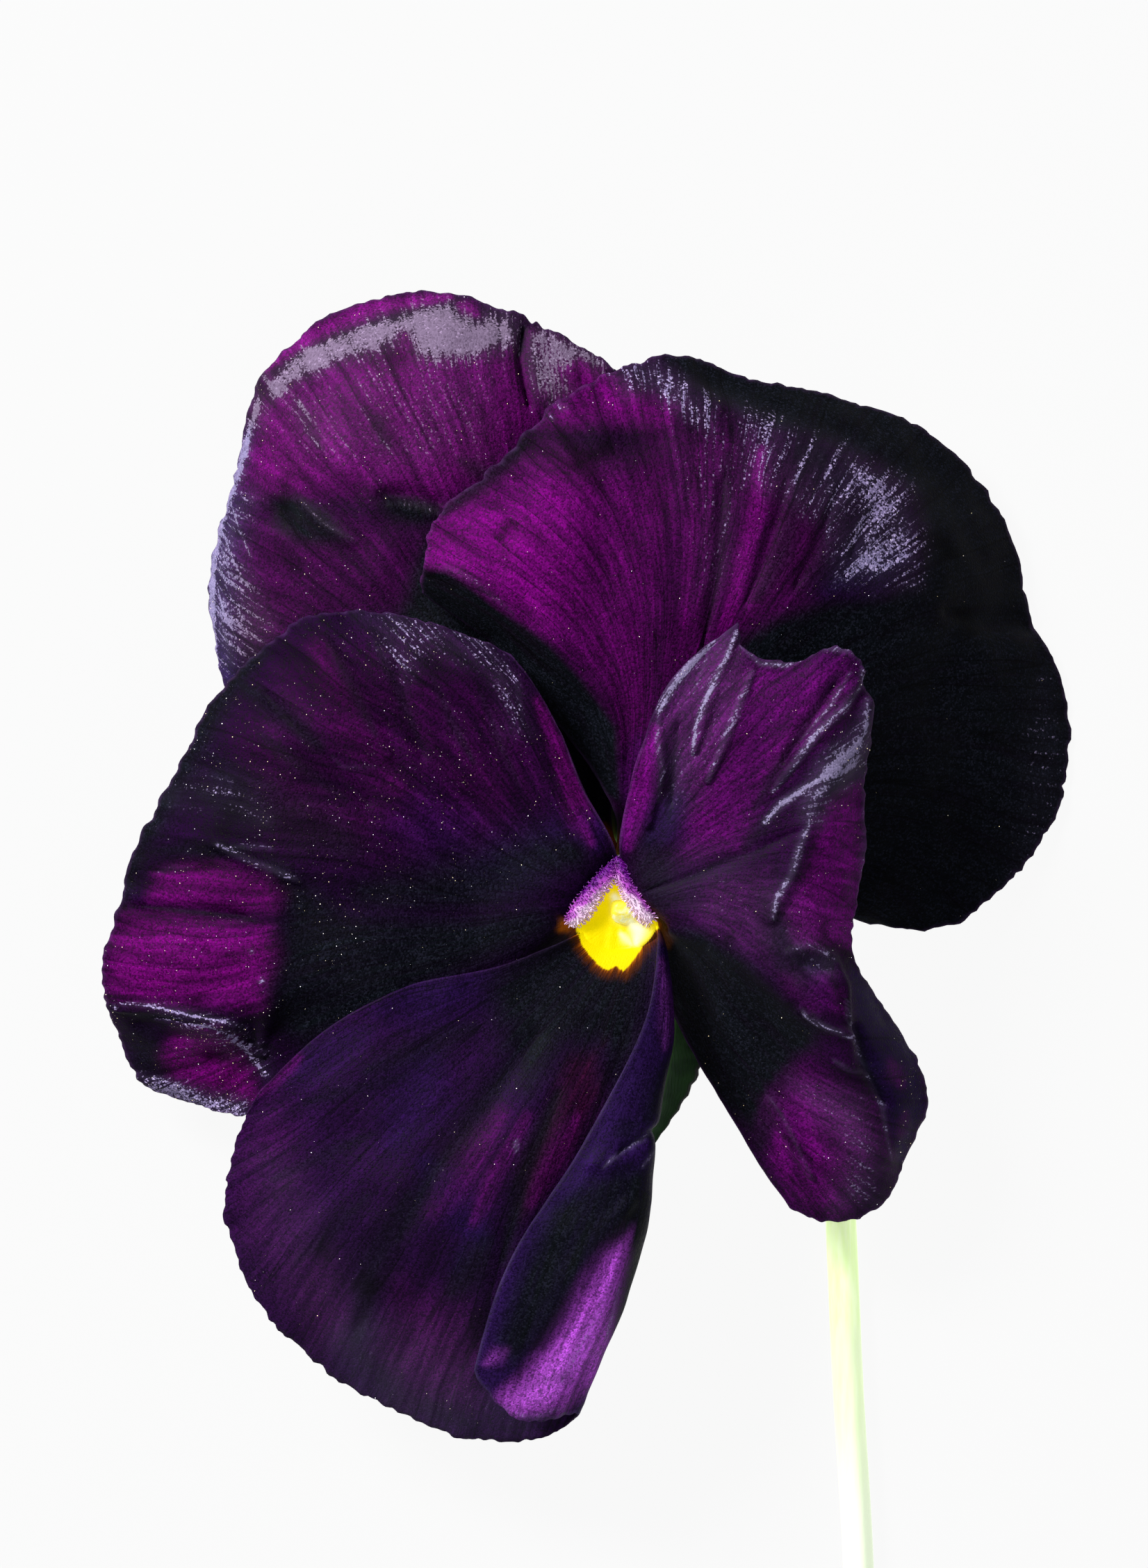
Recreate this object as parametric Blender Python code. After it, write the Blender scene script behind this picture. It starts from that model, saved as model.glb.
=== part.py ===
"""A pansy picked with its stem and laid on its back on a flat surface, face up.

Lengths are millimetres until the mesh is made. X runs to the right and Y to the top of the bloom,
and Z points up, out of its face. The tip of the spur stands on the origin.
"""

import math

import bpy
import numpy as np

MM = 0.001
BLADE = 0.6
SEPAL_BLADE = 0.7

# The claws of the five petals stand in a ring round the ovary.
CLAW_RING = (0.5, 2.2)
CLAW_RADIUS = 2.4
CLAW_Z = 6.4

# Segments from one station of a rib to the next, from the claw out, and across a petal.
ALONG_STEPS = (2, 3, 4, 3, 3)
ACROSS_STEPS = 28

# The receptacle at the head of the stem.
SEAT = (0.5, 2.6)
SEAT_RADIUS = 2.2
SEAT_TOP = 6.0

# Each petal is a fan of ribs, listed clockwise as seen from the front. A rib has five stations:
# the throat, two on the blade, one near the edge and the edge itself.
UPPER_LEFT_RIBS = (
    ((-2.6, 5.0, 8.6), (-9.2, 7.6, 8.0), (-16.5, 10.0, 5.9), (-21.8, 12.2, 3.6), (-25.2, 14.4, 1.8)),
    ((-2.8, 5.4, 8.6), (-9.9, 9.6, 8.3), (-17.6, 14.2, 6.4), (-23.0, 17.0, 3.6), (-26.2, 19.8, 0.4)),
    ((-2.8, 5.8, 8.6), (-10.0, 11.8, 8.5), (-17.6, 18.9, 7.4), (-22.9, 22.0, 4.2), (-26.2, 24.5, 0.4)),
    ((-2.7, 6.1, 8.6), (-9.4, 13.8, 8.6), (-16.4, 22.8, 8.4), (-21.2, 26.6, 6.2), (-24.7, 29.0, 2.0)),
    ((-2.5, 6.4, 8.6), (-8.4, 15.4, 8.5), (-14.7, 25.8, 8.9), (-19.6, 31.1, 8.0), (-23.3, 35.3, 3.4)),
    ((-2.3, 6.6, 8.5), (-7.3, 16.5, 8.2), (-12.6, 28.0, 9.2), (-16.7, 34.6, 9.0), (-19.6, 39.0, 4.6)),
    ((-2.0, 6.7, 8.4), (-6.1, 17.2, 7.9), (-10.2, 29.4, 9.2), (-13.4, 36.3, 9.4), (-15.0, 40.8, 5.6)),
    ((-1.7, 6.8, 8.3), (-4.9, 17.5, 7.6), (-7.8, 30.0, 8.8), (-9.7, 36.6, 9.4), (-10.3, 41.3, 6.2)),
    ((-1.4, 6.8, 8.1), (-3.7, 17.5, 7.4), (-5.4, 30.0, 8.2), (-6.3, 35.6, 8.7), (-6.2, 39.6, 7.2)),
    ((-1.1, 6.8, 7.9), (-2.4, 17.2, 7.2), (-3.0, 29.3, 7.8), (-3.3, 34.7, 8.2), (-3.7, 38.9, 7.0)),
    ((-0.8, 6.8, 7.8), (-1.2, 16.8, 7.1), (-0.7, 28.0, 7.4), (-0.2, 33.0, 7.5), (0.2, 36.5, 6.6)),
    ((-0.4, 6.8, 7.6), (0.0, 16.2, 7.0), (1.6, 26.0, 7.2), (2.9, 30.4, 7.2), (3.9, 33.2, 6.6)),
    ((0.0, 6.7, 7.5), (1.2, 15.3, 6.9), (3.3, 22.8, 7.0), (4.8, 26.3, 7.1), (6.0, 28.8, 6.6)),
)
UPPER_RIGHT_RIBS = (
    ((0.2, 7.35, 10.75), (-2.4, 11.8, 9.9), (-6.2, 16.4, 10.0), (-9.4, 19.6, 10.2), (-12.4, 21.6, 10.4)),
    ((0.55, 7.5, 10.95), (0.0, 13.6, 12.6), (-4.0, 18.6, 13.4), (-8.3, 21.8, 13.6), (-12.2, 23.6, 12.9)),
    ((0.85, 7.6, 11.1), (0.8, 14.6, 12.7), (-2.6, 21.0, 13.6), (-6.9, 24.4, 13.9), (-11.3, 26.9, 12.8)),
    ((1.1, 7.65, 11.2), (1.6, 15.2, 12.7), (-0.6, 22.8, 13.6), (-4.4, 27.2, 13.7), (-8.0, 29.6, 12.6)),
    ((1.3, 7.7, 11.3), (2.4, 15.6, 12.7), (1.4, 24.0, 13.5), (-1.4, 29.5, 13.4), (-4.3, 33.4, 12.0)),
    ((1.6, 7.6, 11.3), (3.2, 15.8, 12.7), (3.4, 24.8, 13.5), (1.8, 31.1, 13.0), (0.2, 36.3, 10.9)),
    ((1.9, 7.5, 11.2), (4.1, 15.8, 12.6), (5.6, 25.2, 13.5), (5.2, 31.8, 12.5), (5.0, 37.1, 9.4)),
    ((2.1, 7.4, 11.1), (5.1, 15.6, 12.5), (8.1, 25.0, 13.4), (9.0, 31.0, 11.6), (9.8, 35.5, 7.8)),
    ((2.4, 7.2, 11.0), (6.1, 15.2, 12.3), (10.8, 24.2, 13.1), (13.2, 29.4, 10.9), (15.8, 34.4, 5.6)),
    ((2.7, 6.9, 10.8), (7.1, 14.6, 12.1), (13.2, 22.6, 12.6), (17.3, 27.2, 9.4), (21.6, 31.8, 3.2)),
    ((2.9, 6.6, 10.6), (7.9, 13.7, 11.8), (15.0, 20.2, 11.8), (20.6, 23.8, 7.8), (25.7, 26.7, 1.5)),
    ((3.1, 6.2, 10.4), (8.4, 12.4, 11.3), (16.0, 17.2, 10.9), (22.3, 19.3, 6.6), (27.3, 19.9, 0.9)),
    ((3.3, 5.8, 10.2), (8.6, 10.9, 10.8), (16.3, 13.8, 10.0), (23.2, 14.9, 5.4), (29.6, 14.6, 0.4)),
    ((3.5, 5.4, 10.0), (8.4, 9.3, 10.3), (15.8, 10.4, 9.3), (22.6, 10.4, 5.2), (29.4, 8.7, 0.4)),
    ((3.6, 5.1, 9.7), (7.9, 7.6, 9.9), (14.6, 7.4, 8.8), (20.6, 6.4, 5.5), (26.6, 3.8, 1.6)),
    ((3.7, 4.8, 9.4), (7.2, 6.1, 9.6), (12.6, 4.8, 8.6), (17.4, 3.0, 6.0), (21.9, -0.2, 3.2)),
    ((3.7, 4.5, 9.0), (6.4, 4.9, 9.2), (10.2, 3.2, 8.4), (13.6, 1.5, 6.8), (17.0, 0.0, 4.6)),
)
LATERAL_LEFT_RIBS = (
    ((-2.9, -0.5, 11.6), (-8.0, -4.9, 12.5), (-14.3, -8.2, 12.8), (-19.6, -10.7, 11.0), (-24.2, -12.6, 7.6)),
    ((-3.0, 0.0, 12.0), (-8.6, -3.2, 12.9), (-16.4, -6.1, 13.3), (-22.8, -9.0, 8.8), (-28.0, -11.6, 4.8)),
    ((-3.0, 0.4, 12.2), (-8.9, -2.2, 13.0), (-17.3, -4.7, 13.6), (-24.6, -7.9, 8.8), (-31.2, -10.0, 4.2)),
    ((-3.0, 0.7, 12.3), (-9.1, -1.3, 13.0), (-17.9, -3.3, 13.8), (-25.4, -6.4, 11.0), (-32.4, -6.9, 5.6)),
    ((-2.9, 1.0, 12.4), (-9.2, -0.4, 13.0), (-18.3, -1.6, 13.9), (-26.2, -4.0, 11.8), (-33.3, -3.6, 8.0)),
    ((-2.8, 1.3, 12.5), (-9.1, 0.7, 12.9), (-18.2, 0.6, 13.8), (-26.3, -0.5, 12.0), (-32.5, 0.4, 8.6)),
    ((-2.6, 1.6, 12.5), (-8.8, 2.0, 12.8), (-17.6, 3.4, 13.7), (-25.2, 3.7, 12.2), (-31.2, 4.9, 8.8)),
    ((-2.4, 2.0, 12.6), (-8.2, 3.5, 12.7), (-16.2, 6.8, 13.6), (-23.3, 8.2, 12.6), (-28.9, 9.3, 9.4)),
    ((-2.1, 2.4, 12.6), (-7.2, 5.1, 12.7), (-13.9, 10.3, 13.6), (-20.2, 12.8, 12.9), (-25.6, 15.3, 10.0)),
    ((-1.7, 2.8, 12.6), (-5.9, 6.6, 12.8), (-11.2, 12.9, 13.7), (-16.2, 16.3, 13.2), (-20.2, 19.9, 11.2)),
    ((-1.3, 3.3, 12.6), (-4.5, 7.8, 13.0), (-8.3, 14.4, 14.0), (-11.8, 17.6, 13.6), (-14.6, 20.4, 12.2)),
    ((-0.9, 3.8, 12.5), (-3.1, 8.6, 13.2), (-5.7, 14.3, 14.4), (-8.0, 17.0, 14.1), (-9.9, 19.1, 13.0)),
    ((-0.5, 4.3, 12.3), (-1.7, 8.5, 13.2), (-3.3, 12.5, 14.4), (-4.8, 15.2, 14.3), (-6.6, 17.7, 13.6)),
)
LATERAL_RIGHT_RIBS = (
    ((1.0, 4.6, 12.8), (1.1, 8.4, 14.4), (2.3, 12.4, 15.6), (4.4, 16.4, 16.2), (8.3, 19.8, 16.4)),
    ((1.4, 4.3, 12.9), (2.4, 8.3, 14.9), (4.4, 12.3, 16.2), (6.6, 15.4, 16.8), (8.9, 17.9, 16.5)),
    ((1.7, 4.0, 13.0), (3.6, 7.9, 15.0), (6.4, 11.7, 16.3), (9.0, 14.8, 16.9), (11.8, 17.1, 16.3)),
    ((2.0, 3.7, 13.1), (4.7, 7.3, 15.0), (8.2, 10.9, 16.3), (11.6, 14.3, 17.2), (15.2, 18.1, 16.4)),
    ((2.2, 3.4, 13.1), (5.5, 6.4, 14.9), (9.8, 9.6, 16.4), (13.6, 12.2, 17.4), (16.8, 14.7, 15.4)),
    ((2.4, 3.0, 13.1), (6.1, 5.4, 14.8), (10.7, 7.6, 16.4), (14.0, 8.8, 16.6), (16.5, 9.8, 14.2)),
    ((2.6, 2.6, 13.1), (6.4, 4.2, 14.7), (10.9, 5.2, 16.2), (13.8, 5.4, 15.8), (16.3, 5.0, 13.4)),
    ((2.8, 2.2, 13.0), (6.6, 2.9, 14.6), (10.8, 2.9, 15.8), (13.6, 2.4, 15.3), (16.1, 1.6, 13.2)),
    ((2.9, 1.8, 12.9), (6.6, 1.6, 14.5), (10.7, 0.3, 15.6), (13.6, -1.0, 15.2), (15.7, -1.8, 13.2)),
    ((3.2, 1.3, 12.6), (6.4, 0.0, 14.3), (10.8, -3.4, 15.0), (14.9, -6.2, 14.4), (17.8, -6.2, 9.4)),
    ((3.4, 1.0, 12.1), (6.0, -2.0, 12.4), (10.0, -6.6, 11.8), (15.9, -10.4, 12.2), (20.3, -11.2, 7.6)),
    ((3.6, 0.7, 11.7), (5.5, -3.2, 11.0), (9.4, -9.2, 10.4), (16.2, -13.8, 11.0), (19.3, -15.2, 7.2)),
    ((3.8, 0.4, 11.2), (5.0, -4.0, 10.3), (8.9, -10.7, 9.7), (14.3, -15.8, 9.8), (17.4, -18.5, 7.0)),
    ((3.9, 0.1, 10.8), (4.5, -4.4, 9.7), (8.0, -11.2, 9.2), (12.0, -16.2, 8.9), (14.4, -19.6, 7.0)),
    ((3.9, -0.2, 10.4), (4.0, -4.8, 9.2), (7.0, -11.1, 8.8), (9.3, -14.9, 8.4), (11.6, -18.5, 7.2)),
)
LOWER_RIBS = (
    ((3.0, -0.5, 13.1), (2.15, -6.2, 15.8), (-1.9, -14.3, 17.4), (-6.6, -21.8, 16.6), (-8.9, -29.2, 13.3)),
    ((3.15, -0.6, 13.0), (2.9, -6.4, 15.5), (0.4, -14.4, 17.3), (-2.8, -22.3, 16.9), (-6.4, -32.2, 12.9)),
    ((3.25, -0.7, 12.8), (3.6, -6.5, 14.9), (2.2, -14.0, 16.3), (0.2, -22.5, 16.0), (-4.0, -32.2, 12.3)),
    ((3.3, -0.8, 12.5), (3.9, -6.5, 14.0), (2.8, -13.5, 14.6), (1.1, -22.3, 14.2), (-2.7, -31.6, 10.8)),
    ((3.1, -1.1, 12.1), (3.3, -6.6, 12.9), (2.2, -13.8, 13.0), (0.4, -22.7, 12.4), (-3.6, -33.2, 9.6)),
    ((2.2, -1.5, 12.0), (1.5, -7.2, 12.9), (-0.9, -15.0, 13.4), (-3.2, -24.0, 12.9), (-6.2, -33.9, 8.8)),
    ((1.2, -1.7, 12.0), (-0.8, -7.5, 13.2), (-4.6, -15.8, 14.4), (-7.5, -24.6, 13.4), (-10.4, -33.3, 8.4)),
    ((0.3, -1.8, 12.0), (-3.0, -7.4, 13.5), (-8.0, -15.6, 15.0), (-12.0, -23.9, 13.3), (-15.2, -31.3, 8.6)),
    ((-0.5, -1.7, 12.0), (-4.8, -6.9, 13.6), (-11.2, -14.4, 15.0), (-16.2, -21.8, 13.3), (-19.9, -28.3, 9.0)),
    ((-1.1, -1.5, 12.1), (-6.1, -6.1, 13.7), (-13.2, -12.7, 14.8), (-18.9, -19.0, 13.3), (-23.0, -24.8, 9.8)),
    ((-1.6, -1.2, 12.2), (-7.0, -5.2, 13.9), (-14.4, -10.6, 14.7), (-20.3, -15.7, 13.4), (-25.3, -19.2, 10.8)),
    ((-2.0, -0.9, 12.4), (-7.4, -4.0, 14.2), (-14.9, -7.9, 14.9), (-20.4, -11.9, 13.8), (-24.6, -14.2, 12.0)),
    ((-2.3, -0.7, 12.7), (-7.4, -2.7, 14.6), (-13.3, -4.0, 15.2), (-18.4, -6.7, 14.9), (-22.9, -10.8, 13.6)),
)

# Name, ribs, claw sector in degrees, ripples along the edge and their height.
PETALS = (
    ("petal_upper_left", UPPER_LEFT_RIBS, (138, 100), 9, 0.35),
    ("petal_upper_right", UPPER_RIGHT_RIBS, (80, 42), 11, 0.4),
    ("petal_lateral_left", LATERAL_LEFT_RIBS, (210, 160), 8, 0.35),
    ("petal_lateral_right", LATERAL_RIGHT_RIBS, (20, -32), 7, 0.3),
    ("petal_lower", LOWER_RIBS, (308, 229), 8, 0.3),
)

# The spur of the lower petal: centre and radius, from the claw down to its flat tip.
SPUR = (
    ((0.4, -1.25, 8.3), 0.55),
    ((0.4, -1.25, 7.8), 0.95),
    ((0.35, -1.2, 6.6), 1.05),
    ((0.2, -1.05, 4.8), 1.05),
    ((0.1, -0.7, 2.9), 1.1),
    ((0.0, -0.2, 1.2), 1.15),
    ((0.0, 0.0, 0.4), 1.0),
    ((0.0, 0.0, 0.0), 0.65),
)

# The stem, from its cut end to the receptacle.
STEM = (
    ((17.2, -65.0, 1.01), 1.05),
    ((17.0, -56.0, 1.01), 1.05),
    ((16.5, -41.0, 1.01), 1.05),
    ((15.8, -31.0, 1.01), 1.05),
    ((15.1, -19.6, 1.01), 1.05),
    ((14.7, -11.0, 1.01), 1.0),
    ((13.6, -4.0, 1.01), 1.0),
    ((11.4, 1.6, 1.1), 0.95),
    ((8.2, 4.9, 1.3), 0.95),
    ((4.8, 6.0, 1.7), 0.9),
    ((2.2, 4.9, 2.4), 0.9),
    ((0.9, 3.2, 3.3), 0.95),
    ((0.5, 2.6, 4.3), 1.2),
)
STEM_SIDES = 12

# Two small scales that sit on the bend of the stem, each from its root to its point.
BRACTEOLES = (
    ("bracteole_low", (((13.0, -2.4, 1.5), 0.45), ((13.9, -1.4, 2.1), 0.55), ((14.6, 0.2, 2.5), 0.42), ((15.0, 2.0, 2.7), 0.12))),
    ("bracteole_high", (((9.6, 3.9, 1.6), 0.45), ((10.6, 4.8, 2.1), 0.55), ((11.2, 6.2, 2.4), 0.42), ((11.4, 7.9, 2.5), 0.12))),
)

# Where each sepal meets the receptacle, in degrees, a point half way, its tip and its half width.
SEPALS = (
    ("sepal_top", 96, (-0.3, 11.4, 5.6), (-0.9, 18.5, 4.6), 2.1),
    ("sepal_left", 164, (-7.0, 5.0, 5.9), (-13.6, 6.3, 5.0), 2.2),
    ("sepal_lower_left", 220, (-5.6, -3.6, 6.7), (-9.8, -10.2, 6.2), 2.3),
    ("sepal_lower_right", 306, (4.0, -6.4, 6.8), (2.2, -15.0, 6.0), 2.5),
    ("sepal_right", 14, (8.8, 4.2, 5.4), (15.4, 5.3, 4.2), 2.1),
)
SEPAL_Z = 4.9
SEPAL_SEAT = SEAT_RADIUS + 0.35 + SEPAL_BLADE / 2

# The pistil: ovary, bent style and round stigma, as centre and radius.
PISTIL = (
    ((0.5, 2.4, 6.35), 0.35),
    ((0.5, 2.4, 6.7), 0.55),
    ((0.5, 2.4, 7.6), 0.62),
    ((0.5, 2.4, 8.4), 0.52),
    ((0.5, 2.3, 9.0), 0.34),
    ((0.5, 2.0, 9.7), 0.27),
    ((0.55, 1.5, 10.5), 0.32),
    ((0.6, 1.2, 11.0), 0.55),
    ((0.6, 1.05, 11.5), 0.82),
    ((0.6, 0.95, 12.1), 0.86),
    ((0.6, 0.9, 12.6), 0.6),
    ((0.6, 0.9, 12.85), 0.25),
)

# The five anthers stand edge to edge in a ring, each with a pointed tip.
ANTHERS = 5
ANTHER_RING = (0.5, 2.4)
ANTHER_SECTION = (
    (0.98, 0.0), (1.2, -0.1), (1.38, 0.2), (1.4, 1.1), (1.26, 2.0), (1.02, 2.8), (0.88, 2.6), (0.94, 1.4),
)
ANTHER_BASE = 6.5
ANTHER_STEPS = 40


def start_empty():
    for old in list(bpy.data.objects):
        bpy.data.objects.remove(old)


def knots_for(points):
    """How far apart a row of points stands, as the root of each step, so that short steps don't bulge."""
    steps = np.linalg.norm(np.diff(points, axis=0), axis=-1)
    if steps.ndim > 1:
        steps = steps.mean(axis=1)
    return np.concatenate([[0.0], np.cumsum(np.sqrt(steps))])


def spline_weights(knots, places):
    """Weights of a smooth curve through a row of points, read at places from 0 to the last point's number."""
    count = len(knots)
    gaps = np.diff(knots)
    slopes = np.zeros((count, count))
    for i in range(1, count - 1):
        before, after = gaps[i - 1], gaps[i]
        slopes[i, i + 1] = before / (after * (before + after))
        slopes[i, i - 1] = -after / (before * (before + after))
        slopes[i, i] = (after / before - before / after) / (before + after)
    for end, inner, gap in ((0, 1, gaps[0]), (count - 1, count - 2, -gaps[-1])):
        slopes[end, inner] = 1.5 / gap
        slopes[end, end] = -1.5 / gap
        slopes[end] -= 0.5 * slopes[inner]
    rows = np.zeros((len(places), count))
    for row, place in zip(rows, places):
        i = min(int(place), count - 2)
        t = place - i
        row[i] += 2 * t**3 - 3 * t**2 + 1
        row[i + 1] += 3 * t**2 - 2 * t**3
        row += gaps[i] * ((t**3 - 2 * t**2 + t) * slopes[i] + (t**3 - t**2) * slopes[i + 1])
    return rows


def unit(vectors):
    return vectors / np.maximum(np.linalg.norm(vectors, axis=-1, keepdims=True), 1e-9)


def stepped(steps):
    """Places along a rib, with so many even steps from each station to the next."""
    places = [0.0]
    for station, count in enumerate(steps):
        places += [station + (k + 1) / count for k in range(count)]
    return places


def petal_surface(ribs, sector):
    """The middle of a petal's blade, as rows of points across it and along it."""
    ribs = np.array(ribs)
    knots = knots_for(ribs)
    turn = np.radians(np.interp(knots, (0, knots[-1]), sector))
    claws = np.stack([
        CLAW_RING[0] + CLAW_RADIUS * np.cos(turn),
        CLAW_RING[1] + CLAW_RADIUS * np.sin(turn),
        np.full(len(ribs), CLAW_Z),
    ], axis=1)
    net = np.concatenate([claws[:, None], ribs], axis=1)
    across = spline_weights(knots, np.linspace(0, len(ribs) - 1, ACROSS_STEPS + 1))
    along = spline_weights(knots_for(net.swapaxes(0, 1)), stepped(ALONG_STEPS))
    return np.einsum("ai,ijk,bj->abk", across, net, along)


def rippled(points, waves, height):
    """Waves that grow towards the outer edge of a petal and die out at its two sides."""
    u = np.linspace(0, 1, points.shape[0])[:, None]
    v = np.linspace(0, 1, points.shape[1])[None, :]
    swell = height * np.clip((v - 0.45) / 0.55, 0, 1) ** 2 * np.sin(math.pi * u) ** 0.5
    lift = swell * np.sin(2 * math.pi * waves * (u + 0.03 * v))
    points[..., 2] += lift
    outward = unit(points - np.array([0.0, 2.0, 0.0]))
    points[..., :2] += 0.5 * lift[..., None] * outward[..., :2]
    return points


def normals_of(points):
    return unit(np.cross(np.gradient(points, axis=0), np.gradient(points, axis=1)))


def evened(normals, rows):
    """The same normals, evened out across the first rows, where the claw is much narrower than the blade."""
    for step in range(rows):
        for _ in range(4 * (rows - step)):
            inner = normals[1:-1, step]
            normals[1:-1, step] = unit(normals[:-2, step] + 2 * inner + normals[2:, step])
            normals[0, step], normals[-1, step] = normals[1, step], normals[-2, step]
    return normals


def sheet(points, thickness, claw_rows=0):
    """Vertices and triangles of a closed blade round a surface, split alike on its two faces."""
    wide, long = points.shape[:2]
    offset = evened(normals_of(points), claw_rows) * thickness / 2
    vertices = np.concatenate([(points + offset).reshape(-1, 3), (points - offset).reshape(-1, 3)])
    under = wide * long
    faces = []
    for i in range(wide - 1):
        for j in range(long - 1):
            a, b, c, d = i * long + j, (i + 1) * long + j, (i + 1) * long + j + 1, i * long + j + 1
            short = np.linalg.norm(vertices[a] - vertices[c]) < np.linalg.norm(vertices[b] - vertices[d])
            for corner in ((a, b, c), (a, c, d)) if short else ((a, b, d), (b, c, d)):
                faces.append(corner)
                faces.append(tuple(under + k for k in reversed(corner)))
    rim = [i * long for i in range(wide)]
    rim += [(wide - 1) * long + j for j in range(1, long)]
    rim += [i * long + long - 1 for i in range(wide - 2, -1, -1)]
    rim += list(range(long - 2, 0, -1))
    for a, b in zip(rim, rim[1:] + rim[:1]):
        faces += [(b, a, under + a), (b, under + a, under + b)]
    return vertices, faces


def tube(path, sides, steps):
    """A closed tube along stations of centre and radius, with flat ends."""
    count = len(path)
    table = np.array([centre + (radius,) for centre, radius in path])
    places = np.linspace(0, count - 1, (count - 1) * steps + 1)
    rings = spline_weights(knots_for(table[:, :3]), places) @ table
    centres, radii = rings[:, :3], rings[:, 3]
    ahead = unit(np.gradient(centres, axis=0))
    ahead[0], ahead[-1] = unit(centres[1] - centres[0]), unit(centres[-1] - centres[-2])
    side = unit(np.cross(ahead[0], np.array([0.0, 0.0, 1.0]) if abs(ahead[0][2]) < 0.9 else np.array([1.0, 0.0, 0.0])))
    vertices = []
    for centre, radius, axis in zip(centres, radii, ahead):
        side = unit(side - axis * side.dot(axis))
        up = np.cross(side, axis)
        for k in range(sides):
            turn = 2 * math.pi * (k + 0.5) / sides
            vertices.append(centre + radius * (math.cos(turn) * side + math.sin(turn) * up))
    faces = []
    for ring in range(len(centres) - 1):
        for k in range(sides):
            a, b = ring * sides + k, ring * sides + (k + 1) % sides
            faces += [(a, a + sides, b), (b, a + sides, b + sides)]
    last = (len(centres) - 1) * sides
    faces.append(tuple(range(sides)))
    faces.append(tuple(last + k for k in reversed(range(sides))))
    return np.array(vertices), faces


def material(name, colour, roughness):
    made = bpy.data.materials.new(name)
    made.use_nodes = True
    shader = made.node_tree.nodes["Principled BSDF"]
    shader.inputs["Base Color"].default_value = (*colour, 1)
    shader.inputs["Roughness"].default_value = roughness
    return made


def add(name, vertices, faces, look):
    """One sub-part as an object, its mesh in metres and its faces turned out."""
    mesh = bpy.data.meshes.new(name)
    mesh.from_pydata([tuple(v) for v in np.array(vertices) * MM], [], faces)
    mesh.update()
    mesh.validate()
    turned = signed_volume(mesh) < 0
    if turned:
        mesh.flip_normals()
    obj = bpy.data.objects.new(name, mesh)
    obj.data.materials.append(look)
    bpy.context.scene.collection.objects.link(obj)
    return obj


def signed_volume(mesh):
    total = 0.0
    for polygon in mesh.polygons:
        corners = [mesh.vertices[k].co for k in polygon.vertices]
        for second, third in zip(corners[1:], corners[2:]):
            total += corners[0].dot(second.cross(third))
    return total


def join_into(target, helper):
    """The union of two closed meshes, kept in the first."""
    union = target.modifiers.new("union", "BOOLEAN")
    union.operation = "UNION"
    union.solver = "EXACT"
    union.object = helper
    bpy.context.view_layer.update()
    graph = bpy.context.evaluated_depsgraph_get()
    made = bpy.data.meshes.new_from_object(target.evaluated_get(graph))
    target.modifiers.clear()
    target.data = made
    bpy.data.objects.remove(helper)
    return target


def petals(look):
    made = {}
    for name, ribs, sector, waves, height in PETALS:
        surface = rippled(petal_surface(ribs, sector), waves, height)
        vertices, faces = sheet(surface, BLADE, 4)
        vertices[:, 2] = np.maximum(vertices[:, 2], 0)
        made[name] = add(name, vertices, faces, look[name])
    return made


def spur(look):
    vertices, faces = tube(SPUR, 12, 1)
    return add("spur_tube", vertices, faces, look)


def sepal_centreline(angle, middle, tip):
    """From the tip of the ear behind the receptacle, past the seat, to the sepal's point."""
    turn = math.radians(angle)
    out = np.array([math.cos(turn), math.sin(turn), 0.0])
    seat = np.array([SEAT[0], SEAT[1], SEPAL_Z]) + SEPAL_SEAT * out
    ear = seat + 0.9 * out - np.array([0, 0, 2.6])
    shoulder = seat + 0.9 * out + np.array([0, 0, 1.2])
    return np.array([ear, seat, shoulder, middle, tip])


def sepal(name, angle, middle, tip, half_width, look):
    line = sepal_centreline(angle, middle, tip)
    half = np.array([0.35, 0.6, 0.95, half_width, 0.25])
    weights = spline_weights(knots_for(line), stepped((3, 2, 4, 4)))
    centres, halves = weights @ line, weights @ half
    ahead = unit(np.gradient(centres, axis=0))
    turn = math.radians(angle)
    round_seat = np.array([-math.sin(turn), math.cos(turn), 0.0])
    rows = []
    for centre, width, axis in zip(centres, halves, ahead):
        side = unit(round_seat - axis * axis.dot(round_seat))
        back = np.cross(side, axis)
        rows.append([centre + s * width * side + 0.12 * width * (1 - s * s) * back for s in (-1, -0.5, 0, 0.5, 1)])
    vertices, faces = sheet(np.array(rows), SEPAL_BLADE)
    return add(name, vertices, faces, look)


def stem(look):
    """The stem and the receptacle that it swells into, as one tube."""
    head = (
        ((SEAT[0], SEAT[1], 4.9), 1.9),
        ((SEAT[0], SEAT[1], 5.4), SEAT_RADIUS),
        ((SEAT[0], SEAT[1], 5.8), SEAT_RADIUS),
        ((SEAT[0], SEAT[1], SEAT_TOP), SEAT_RADIUS - 0.35),
    )
    vertices, faces = tube(STEM + head, STEM_SIDES, 2)
    vertices[:, 2] = np.maximum(vertices[:, 2], 0)
    made = add("stem", vertices, faces, look)
    for name, path in BRACTEOLES:
        join_into(made, add(name, *tube(path, 6, 2), look))
    return made


def pistil(look):
    vertices, faces = tube(PISTIL, 10, 2)
    return add("pistil", vertices, faces, look)


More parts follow.
